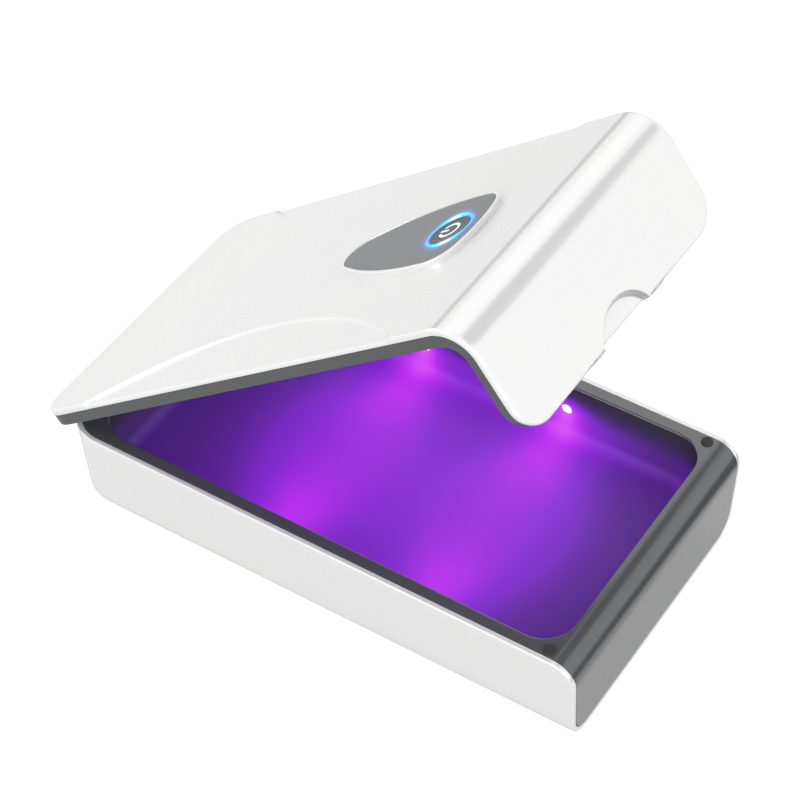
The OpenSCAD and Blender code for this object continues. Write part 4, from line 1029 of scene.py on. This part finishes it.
def islandOutline():
    # the panel's outline with the outward direction at each point; each arc is a centre, a
    # radius, two bearings and its number of points
    r = island["corner"]
    tip = np.array([0, buttonY - island["front"] + island["length"]])
    left = np.array([-island["half"], buttonY - island["front"]])
    right = left * [-1, 1]

    def leftCentre(p, q, radius):
        d = q - p
        h = math.sqrt(radius * radius - d @ d / 4)
        return (p + q) / 2 + h * np.array([-d[1], d[0]]) / math.hypot(*d)

    def bearing(v):
        return math.atan2(v[1], v[0])

    side = leftCentre(right, tip, island["sideRadius"] - r)
    front = leftCentre(left, right, island["frontRadius"] - r)
    aFront, bFront = bearing(right - front), bearing(left - front)
    aSide, bSide = bearing(right - side), bearing(tip - side)
    arcs = [(front, island["frontRadius"], bFront, aFront, 26), (right, r, aFront, aSide, 22),
            (side, island["sideRadius"], aSide, bSide, 34), (tip, r, bSide, math.pi - bSide, 24),
            (side * [-1, 1], island["sideRadius"], math.pi - bSide, math.pi - aSide, 34),
            (left, r, math.pi - aSide, 2 * math.pi + bFront, 22)]
    points, normals = [], []
    for centre, radius, a, b, n in arcs:
        angle = np.linspace(a, b, n, endpoint=False)
        direction = np.stack([np.cos(angle), np.sin(angle)], -1)
        points.append(centre + radius * direction)
        normals.append(direction)
    return np.concatenate(points), np.concatenate(normals)


def islandBorder():
    # the white border round the panel, an (out, up) profile carried round the outline: a thin
    # rim with rounded edges on a flank that draws in below it, so that a soft shadow lies
    # round its foot
    h, w, g, r, waist, foot = (island[k] for k in ("height", "rim", "gap", "round", "waist", "foot"))
    lip, middle, step = island["lip"], island["lipMiddle"], island["step"]
    a = np.linspace(0, math.pi / 2, 6)
    top = [(g, h - lip), (g + middle, h - middle), (g + lip, h)]
    shoulder = [(w - r + r * math.sin(v), h - r + r * math.cos(v)) for v in a]
    under = [(w - r + r * math.cos(v), h - r - step - r * math.sin(v)) for v in a]
    flank = [(waist + 0.5 * (w - r - waist) * (1 + math.cos(v)),
              h - 2 * r - step - island["flank"] * v / math.pi) for v in np.linspace(0.3, math.pi, 6)]
    profile = [(g, -foot), (g, h - foot)] + top + shoulder + under + flank + [(waist, -foot)]
    flat, normal = islandOutline()
    points = levelRows([(flat + normal * out, lidTopZ + up) for out, up in profile])
    return points.reshape(-1, 3), gridFaces(len(profile), len(flat), wrap=True, ring=True).tolist()


def makePanel(material):
    # the satin panel: from its rounded outer edge, straight in to the hole for the ring
    flat, normal = islandOutline()
    centre = np.array([0, buttonY])
    away = flat - centre
    inner = centre + (ringOut + island["panelHole"]) * away / np.linalg.norm(away, axis=1, keepdims=True)
    bottom, top, r = panelTopZ - island["panel"], panelTopZ, island["panelEdge"]
    rows = [(flat, bottom), (flat, top - r)]
    rows += [(flat - normal * c, top - r + s) for s, c in quarter(r, 3)[1:]]
    start = flat - normal * r
    rows += [(start + (inner - start) * t, top) for t in np.linspace(0, 1, 16)[1:-1] ** 0.8]
    rows += [(inner, top), (inner, bottom)]
    faces = gridFaces(len(rows), len(flat), wrap=True, ring=True)
    piece = makePiece("satin_panel", turnLid(levelRows(rows).reshape(-1, 3)), faces, material, "lid", "panel",
                      ["control_panel"])
    addHalo(piece, halo["panelReach"])
    return piece


# the light ring: its depth, how far it stands out and its edge in mm, the bearings of its two
# lamps in degrees, seen from above, and how far their light spreads along it in radians
ring = dict(deep=2.0, proud=0.05, edge=0.3, lamps=(23, 204), spread=0.55)
# its light painted on the panel and on the button: how far it reaches in mm, the share of
# that in which it fades by a factor e, and its strength away from the lamps
halo = dict(panelReach=4.2, buttonReach=2.0, share=0.35, everywhere=0.22)


def ringFlare(points):
    # 1 beside each of the ring's two lamps, falling off along it as exp(-(turn / spread)²), and
    # each place's distance from the button's axis
    flat = closedLid(points)
    flatY = flat[:, 1] - buttonY
    bearing = np.arctan2(flatY, points[:, 0])
    near = np.zeros(len(points))
    for lamp in ring["lamps"]:
        turn = np.abs((bearing - math.radians(lamp) + math.pi) % (2 * math.pi) - math.pi)
        near = np.maximum(near, np.exp(-(turn / ring["spread"]) ** 2))
    return near, np.hypot(flatY, points[:, 0])


def addHalo(piece, reach):
    # painted blue light beside the ring: strong at its lamps, gone reach mm away
    near, radius = ringFlare(placesOf(piece))
    away = np.where(radius > ringOut, radius - ringOut, button["diameter"] / 2 - radius)
    fall = np.exp(-np.maximum(away, 0) / (reach * halo["share"]))
    strength = halo["everywhere"] + (1 - halo["everywhere"]) * near
    setAttribute(piece, "halo", np.clip(fall * strength, 0, 1))


def makeRing(material):
    # the opal ring as a loop profile with two rounded upper edges
    low, high, e = panelTopZ - ring["deep"], panelTopZ + ring["proud"], ring["edge"]
    profile = [(ringIn, low), (ringIn, high - e)] + [(ringIn + c, high - e + s) for s, c in quarter(e)[1:]]
    profile += [(ringOut - e + s, high - c) for s, c in quarter(e)] + [(ringOut, low)]
    points, faces = turned(profile, (0, buttonY, 0), steps=160, loop=True)
    piece = makePiece("ring_diffuser", turnLid(points), faces, material, "lid", "ring", ["light_ring"])
    setAttribute(piece, "flare", ringFlare(placesOf(piece))[0])
    return piece


def makeButton(material):
    # a disc with a rounded edge and a shallow dished face, and its stem
    r, e, dish = button["diameter"] / 2, button["edge"], button["dish"]
    top, low, skirt = panelTopZ, panelTopZ - button["height"], button["skirt"]
    rows = [(0, low), (r - skirt, low), (r, low + skirt)]
    rows += [(r - c, top - e + s) for s, c in quarter(e, 5)]
    rows += [(r - e - t * button["dishRun"], top - dish * float(softStep(t))) for t in np.linspace(0.1, 1, 8)]
    rows += [(v, top - dish) for v in (4.0, 3.0, 2.0, 1.0, 0)]
    stem = roundedRod(button["stemRadius"], button["stem"], 0.1)
    points, faces = joinParts([turned(rows, (0, buttonY, 0), steps=128),
                               turned(stem, (0, buttonY, top - button["stemFoot"]))])
    piece = makePiece("button_cap", turnLid(points), faces, material, "button", "button", ["power_button"])
    addHalo(piece, halo["buttonReach"])
    return piece


# the power sign: width over all, line, sunk into the dish, standing out of it, edge, where its
# bar starts and how far it passes the ring's line, in mm, and half the ring's opening in degrees
symbol = dict(size=8.0, line=1.05, sunk=0.2, proud=0.05, edge=0.05, bar=0.75, past=0.15, opening=34)


def strokeForm(path, z0, z1):
    # a stroke of the sign's line width along an open path, with round ends and soft edges
    path = np.array(path, float)
    along = np.gradient(path, axis=0)
    along /= np.linalg.norm(along, axis=1, keepdims=True)
    side = np.stack([-along[:, 1], along[:, 0]], -1)
    half, edge = symbol["line"] / 2, symbol["edge"]
    a = np.linspace(0, math.pi, 9)[1:-1]

    def cap(centre, forward, sideways):
        return centre + half * (np.cos(a)[:, None] * sideways + np.sin(a)[:, None] * forward)

    outline = np.concatenate([path + side * half, cap(path[-1], along[-1], side[-1]),
                              (path - side * half)[::-1], cap(path[0], -along[0], -side[0])])
    spine = np.concatenate([path, np.repeat(path[-1:], len(a), 0),
                            path[::-1], np.repeat(path[:1], len(a), 0)])
    inward = spine - outline
    rows = [(spine, z0), (outline, z0), (outline, z1 - edge), (outline + inward * 0.12, z1 - edge * 0.3),
            (outline + inward * 0.3, z1), (spine, z1)]
    return levelRows(rows).reshape(-1, 3), gridFaces(len(rows), len(outline), wrap=True).tolist()


def makeSymbol(material):
    # the plain power sign: a ring open on the hinge's side and a bar in the opening
    r = (symbol["size"] - symbol["line"]) / 2
    a = np.radians(np.linspace(90 + symbol["opening"], 360 + 90 - symbol["opening"], 60))
    barY = np.linspace(symbol["bar"], r + symbol["past"], 8)
    face = panelTopZ - button["dish"]
    strokes = [strokeForm(np.column_stack([x, buttonY + y]), face - symbol["sunk"], face + symbol["proud"])
               for x, y in ((r * np.cos(a), r * np.sin(a)), (np.zeros(len(barY)), barY))]
    points, faces = joinParts(strokes)
    return makePiece("power_sign", turnLid(points), faces, material, "button", "symbol", ["power_symbol"])


# the grey tray under the skin, its knuckles, the seats of its screws and the violet light
# painted on it for the light it takes up when the lid is open, in mm
liner = dict(inset=0.2, sheet=1.6, side=2.5, edge=0.7, backEdge=3.5, skinGap=0.03, lip=0.2)
knuckle = dict(into=0.8, neck=0.6, shoulder=1.5, edge=0.4, corner=0.12)
seat = dict(radius=1.95, depth=3.0, below=2.0, x=51.0, back=19.0, middle=105.0, front=26.0)
trayGlow = dict(strength=0.14, sideFade=12, above=0.3, start=6, frontFade=20, backFade=30)


def knuckleForm(side):
    # half round below the axis, with a neck up into the tray, carried along x
    r = hinge["radius"]
    high = rimZ + lid["gap"] + knuckle["into"]
    neckY = hingeY + r - knuckle["neck"]
    angle = np.radians(np.linspace(180, 360, 26))
    outline = [(hingeY + r * math.cos(v), hingeZ + r * math.sin(v)) for v in angle]
    outline += [(neckY, hingeZ + knuckle["shoulder"]), (neckY, high), (hingeY - r, high)]
    half, edge, corner = hinge["knuckle"] / 2, knuckle["edge"], knuckle["corner"]
    ends = (-half, -half + corner, -half + edge, half - edge, half - corner, half)
    xs = [side * hinge["place"] + v for v in ends]
    points, faces = carried(outline, xs, [edge, corner, 0, 0, corner, edge])
    return turnLid(points), faces


def makeLiner(material):
    # the grey tray under the skin: its lower face, a rounded edge, the wall up to the skin and
    # the hollow behind it, with the two hinge knuckles
    edge, inset = liner["edge"], liner["inset"]

    def lowerDepth(s):
        t = towardApron(s)
        return (lid["skin"] + lid["linerDepth"]) * (1 - t) + (lid["apronSkin"] + lid["apronLiner"]) * t

    s, x = lidGrid(inset + edge)
    r = liner["backEdge"]
    gap = np.maximum(r - (s - inset), 0)
    rise = r - np.sqrt(np.maximum(r * r - gap * gap, 0))
    lower = lidPoint(s, x, lowerDepth(s) - rise)
    sHollow, xHollow = lidGrid(inset + liner["side"])
    deep = lowerDepth(sHollow) - liner["sheet"]
    hollow = lidPoint(sHollow, xHollow, deep)
    border, bs, bx, outward = lidBorder(s, x)
    a = lower.reshape(-1, 3)[border]
    skin = innerDepth(bs, bx) + liner["skinGap"]
    up = lidPoint(bs, bx, 0) - lidPoint(bs, bx, 1)
    rows = [a + outward * sn + up * cs for sn, cs in quarter(edge)[1:]]
    wallTop = lidPoint(bs, bx, skin) + outward * edge
    rows += [wallTop - up * liner["lip"], wallTop - outward * liner["lip"]]
    rows += [hollow.reshape(-1, 3)[border] + up * deep.reshape(-1)[border][:, None] - up * skin[:, None]]
    points, faces = closeSheet(lower, hollow, border, rows)
    screwHole = roundedRod(seat["radius"], seat["depth"], 0.05)
    seats = [turned(screwHole, (side * seat["x"], y, rimZ + lid["gap"] - seat["below"]), steps=32)
             for side in (-1, 1)
             for y in (lidBackY - seat["back"], lidBackY - seat["middle"], lidFrontY + seat["front"])]
    parts = [(turnLid(points), faces), knuckleForm(-1), knuckleForm(1)]
    piece = makePiece("lid_tray", *joinParts(parts), material, "lid", "liner", ["lid_liner"],
                      cutters=[(turnLid(p), f) for p, f in seats])
    # painted violet light: the chamber's light on the tray's underside, painted on as emission
    places = closedLid(placesOf(piece))
    under = places[:, 2] < rimZ + lid["gap"] + trayGlow["above"]
    over = softStep((chamberHalf - np.abs(places[:, 0])) / trayGlow["sideFade"]) * under
    along = (softStep((places[:, 1] - frontY - trayGlow["start"]) / trayGlow["frontFade"])
             * softStep((backY - tub["rimBack"] - places[:, 1]) / trayGlow["backFade"]))
    setAttribute(piece, "uvGlow", trayGlow["strength"] * over * along)
    return piece


def named(start):
    return [name for name in nodes if name.startswith(start)]


foot = dict(lower=0.35, upper=0.05)                                 # rounds of a foot's edges, in mm
stop = dict(stem=0.45, chamfer=0.05, round=0.2, crown=0.04)         # the stem is a share of the disc
window = dict(chamfer=0.05, flat=0.1, dome=0.3)


def makeFeet(material):
    # a rubber foot: a disc whose lower edge is rounder than its upper one
    for name in named("foot_"):
        low, high, centre = boxOf(name)
        profile = roundedRod((high[0] - low[0]) / 2, high[2] - low[2], foot["lower"], foot["upper"])
        points, faces = turned(profile, (centre[0], centre[1], low[2]), steps=72)
        makePiece("pad_" + name, points, faces, material, "base", "rubber", [name])


def makeStops(material):
    # a rubber stop: a disc with a soft edge and a faint crown, on its stem
    for name in named("rim_stop"):
        low, high, centre = boxOf(name)
        r, top = (high[0] - low[0]) / 2, high[2]
        stem, c, edge, crown = r * stop["stem"], stop["chamfer"], stop["round"], stop["crown"]
        rows = [(0, low[2]), (stem, low[2]), (stem, rimZ - c), (r - c, rimZ - c), (r, rimZ)]
        rows += [(r - c - drawn, top - edge - crown + up) for up, drawn in quarter(edge)]
        rows += [(r / 2, top - crown / 2), (0, top)]
        points, faces = turned(rows, (centre[0], centre[1], 0))
        makePiece("dot_" + name, points, faces, material, "base", "rubber", [name])


def makeWindows(material):
    # a quartz window: a disc whose inner face is a low dome, dome (1 - k)² at a share k in from
    # its edge
    for name in named("window_"):
        low, high, centre = boxOf(name)
        side = 1 if centre[0] > 0 else -1
        r, t, c, flat = (high[1] - low[1]) / 2, high[0] - low[0], window["chamfer"], window["flat"]
        rows = [(0, t), (r - c, t), (r, t - c), (r, flat)]
        rows += [((r - flat) * (1 - k), window["dome"] * (1 - k) ** 2) for k in np.linspace(0, 1, 7)]
        face = low[0] if side > 0 else high[0]
        points, faces = turned([(a, side * b) for a, b in rows], (face, centre[1], centre[2]), axis="x",
                               steps=48)
        makePiece("quartz_" + name, points, faces, material, "base", "window", [name])


brokenEdge = dict(width=0.12, angle=50)     # mm, and degrees from which an edge is broken


def finishNode(name, material):
    # a CAD node that keeps its shape: its loose triangles are welded, its sharp edges broken
    # by a small bevel, and it gets its material
    piece = nodes[name]
    piece.data.materials.clear()
    piece.data.materials.append(material)
    weld = piece.modifiers.new("weld", "WELD")
    weld.merge_threshold = mergeWithin
    bevel = piece.modifiers.new("broken_edges", "BEVEL")
    bevel.width, bevel.segments = brokenEdge["width"] * mm, 1
    bevel.limit_method, bevel.angle_limit = "ANGLE", math.radians(brokenEdge["angle"])


# the camera: bearing, height and roll in degrees, the lens and its sensor's width in mm, its
# distance from the target, and its shift in its own plane, in mm
view = dict(azimuth=-57.85276, elevation=45.73992, roll=0.22448, lens=116.6435, sensor=36, distance=916.52,
            target=(0.0, -4.707, 27.724), right=-0.046, up=20.940)


def toward(bearing, height):
    # the direction of a bearing from the front towards the right and a height, in degrees
    az, el = math.radians(bearing), math.radians(height)
    return Vector((math.sin(az) * math.cos(el), -math.cos(az) * math.cos(el), math.sin(el)))


def makeCamera():
    # the camera looks at the target from its bearing and height, is rolled, and is then moved
    # sideways and up in its own plane
    back, roll = toward(view["azimuth"], view["elevation"]), math.radians(view["roll"])
    level = (-back).cross(Vector((0, 0, 1))).normalized()
    upright = level.cross(-back)
    right = math.cos(roll) * level + math.sin(roll) * upright
    up = math.cos(roll) * upright - math.sin(roll) * level
    place = Vector(view["target"]) + back * view["distance"] + right * view["right"] + up * view["up"]
    data = bpy.data.cameras.new("camera")
    data.lens, data.sensor_width = view["lens"], view["sensor"]
    camera = addObject("camera", data)
    camera.matrix_world = Matrix.Translation(place * mm) @ Matrix((right, up, back)).transposed().to_4x4()
    bpy.context.scene.camera = camera


# the studio: the world's strength, and half the floor's width in metres with the light that is
# added to it where the camera or a mirror sees it
worldStrength = 0.72
studioFloor = dict(half=3.0, seen=0.75, mirrored=0.38)


def seenDirectly(tree):
    # 1 for rays from the camera, mirrored or through glass, which see the white background
    path = addNode(tree, "ShaderNodeLightPath")
    seen = path.outputs["Is Camera Ray"]
    for ray in ("Is Glossy Ray", "Is Transmission Ray"):
        seen = addNode(tree, "ShaderNodeMath", {0: seen, 1: path.outputs[ray]}, operation="MAXIMUM"
                       ).outputs["Value"]
    return seen


def addSheet(name, corners, material):
    # a flat stage piece of four corners, in metres
    mesh = bpy.data.meshes.new(name)
    mesh.from_pydata([tuple(corner) for corner in corners], [], [(0, 1, 2, 3)])
    mesh.materials.append(material)
    sheet = addObject(name, mesh)
    return sheet


def makeFloor():
    # painted board, rolled matt: a pale floor that is white in the picture but keeps the shadow
    material, tree, shader = startMaterial("matt_painted_board", Roughness=0.9, Base_Color=srgb("#B4B4B4"),
                                           Emission_Color=srgb("#FFFFFF"))
    path = addNode(tree, "ShaderNodeLightPath")
    seen = addNode(tree, "ShaderNodeMath", {0: path.outputs["Is Camera Ray"], 1: studioFloor["seen"]},
                   operation="MULTIPLY")
    lift = addNode(tree, "ShaderNodeMath", {0: path.outputs["Is Glossy Ray"], 1: studioFloor["mirrored"],
                                            2: seen.outputs["Value"]}, operation="MULTIPLY_ADD")
    tree.links.new(lift.outputs["Value"], shader.inputs["Emission Strength"])
    h = studioFloor["half"]
    addSheet("floor", [(-h, -h, 0), (h, -h, 0), (h, h, 0), (-h, h, 0)], material)


# where each lamp or dark card stands, seen from the bend of the lid: bearing from the front
# towards the right and height in degrees, distance and size in metres, and radiance
seenFrom = (0.0, -0.07, 0.15)
lamps = dict(
    key=dict(bearing=122, height=43, away=1.2, size=(0.62, 0.5), radiance=0.3),
    front=dict(bearing=-12, height=22, away=1.3, size=(0.9, 0.7), radiance=2.8),
    back=dict(bearing=190, height=24, away=1.3, size=(0.8, 0.6), radiance=2.2),
    left=dict(bearing=-98, height=12, away=1.3, size=(0.8, 0.6), radiance=2.4))
cards = dict(
    upper=dict(bearing=66, height=50, away=0.9, size=(0.44, 0.40)),
    rear=dict(bearing=150, height=10.5, away=1.1, size=(1.3, 0.24)),
    low=dict(bearing=26.5, height=-42.4, away=0.189, size=(0.45, 0.062)))


def standing(spec):
    # the place of a lamp or card and the turn that faces it to the object
    direction = toward(spec["bearing"], spec["height"])
    return Vector(seenFrom) + direction * spec["away"], direction.to_track_quat("Z", "Y")


def makeLights():
    # the lamps, the dark cards that only mirrors see, and the white world
    for name, spec in lamps.items():
        data = bpy.data.lights.new(name, "AREA")
        data.shape = "RECTANGLE"
        data.size, data.size_y = spec["size"]
        data.energy = spec["radiance"] * math.pi * data.size * data.size_y
        lamp = addObject(name, data)
        lamp.location, turn = standing(spec)
        lamp.rotation_euler = turn.to_euler()
    # flocked card, cut: a black that mirrors nothing
    black = startMaterial("black_flocked_card", Roughness=1.0, Base_Color=srgb("#050505"),
                          Specular_IOR_Level=0.0)[0]
    for name, spec in cards.items():
        place, turn = standing(spec)
        w, h = spec["size"]
        around = ((-1, -1), (1, -1), (1, 1), (-1, 1))
        corners = [place + turn @ Vector((x * w / 2, y * h / 2, 0)) for x, y in around]
        card = addSheet("card_" + name, corners, black)
        card.visible_camera = card.visible_diffuse = card.visible_shadow = False
    world = bpy.data.worlds.new("studio")
    world.use_nodes = True
    bpy.context.scene.world = world
    tree = world.node_tree
    power = addNode(tree, "ShaderNodeMapRange", {"Value": seenDirectly(tree), "To Min": worldStrength,
                                                 "To Max": 1.0})
    setInputs(tree, tree.nodes["Background"], {"Color": srgb("#FFFFFF"), "Strength": power.outputs["Result"]})
    bpy.context.scene.view_settings.view_transform = "Standard"


makeCamera()
makeFloor()
makeLights()
print("stage set")

white, dark = whiteAbs(), rubber()
makeLidShell(white)
makeLiner(greyAbs())
makePanel(panelPaint())
makeRing(ringDiffuser())
makeButton(buttonAbs())
makeSymbol(symbolInlay())
makeBaseShell(white)
makeTub(chamberAbs(), greyLacquer())
makeFeet(dark)
makeStops(dark)
makeWindows(lampLens())
print("shells made")

film = ribbonFilm()
innerParts = {
    "steel": (steel(), ["housing_screws", "board_screws", "lid_screws", "button_board_screws", "power_socket",
                        "hinge_pin_left", "hinge_pin_right", "friction_washer_left", "friction_washer_right",
                        "catch_plate_left", "catch_plate_right"]),
    "board": (boardLaminate(), ["main_board", "light_board_left", "light_board_right", "lid_sensor_board",
                                "button_board"]),
    "chip": (chipEpoxy(), ["controller_chip", "driver_coil", "lid_sensor", "tact_switch", "socket_tongue",
                           "switch_plunger"]),
    "ribbon": (film, ["light_ribbon_left", "light_ribbon_right", "lid_ribbon"]),
    "magnet": (steel("nickel_plated_magnet", ("#B8B4AC", "#C6C2BA"), (0.12, 0.2)),
               ["lid_magnet_left", "lid_magnet_right"]),
    "led": (film, ["ring_led_front", "ring_led_back", "ring_led_left", "ring_led_right"]),
    "emitter": (lampLens(), ["emitter_front_left", "emitter_back_left", "emitter_front_right",
                             "emitter_back_right"])}
for slotName, (material, names) in innerParts.items():
    for name in names:
        finishNode(name, material)
print("inner parts finished")
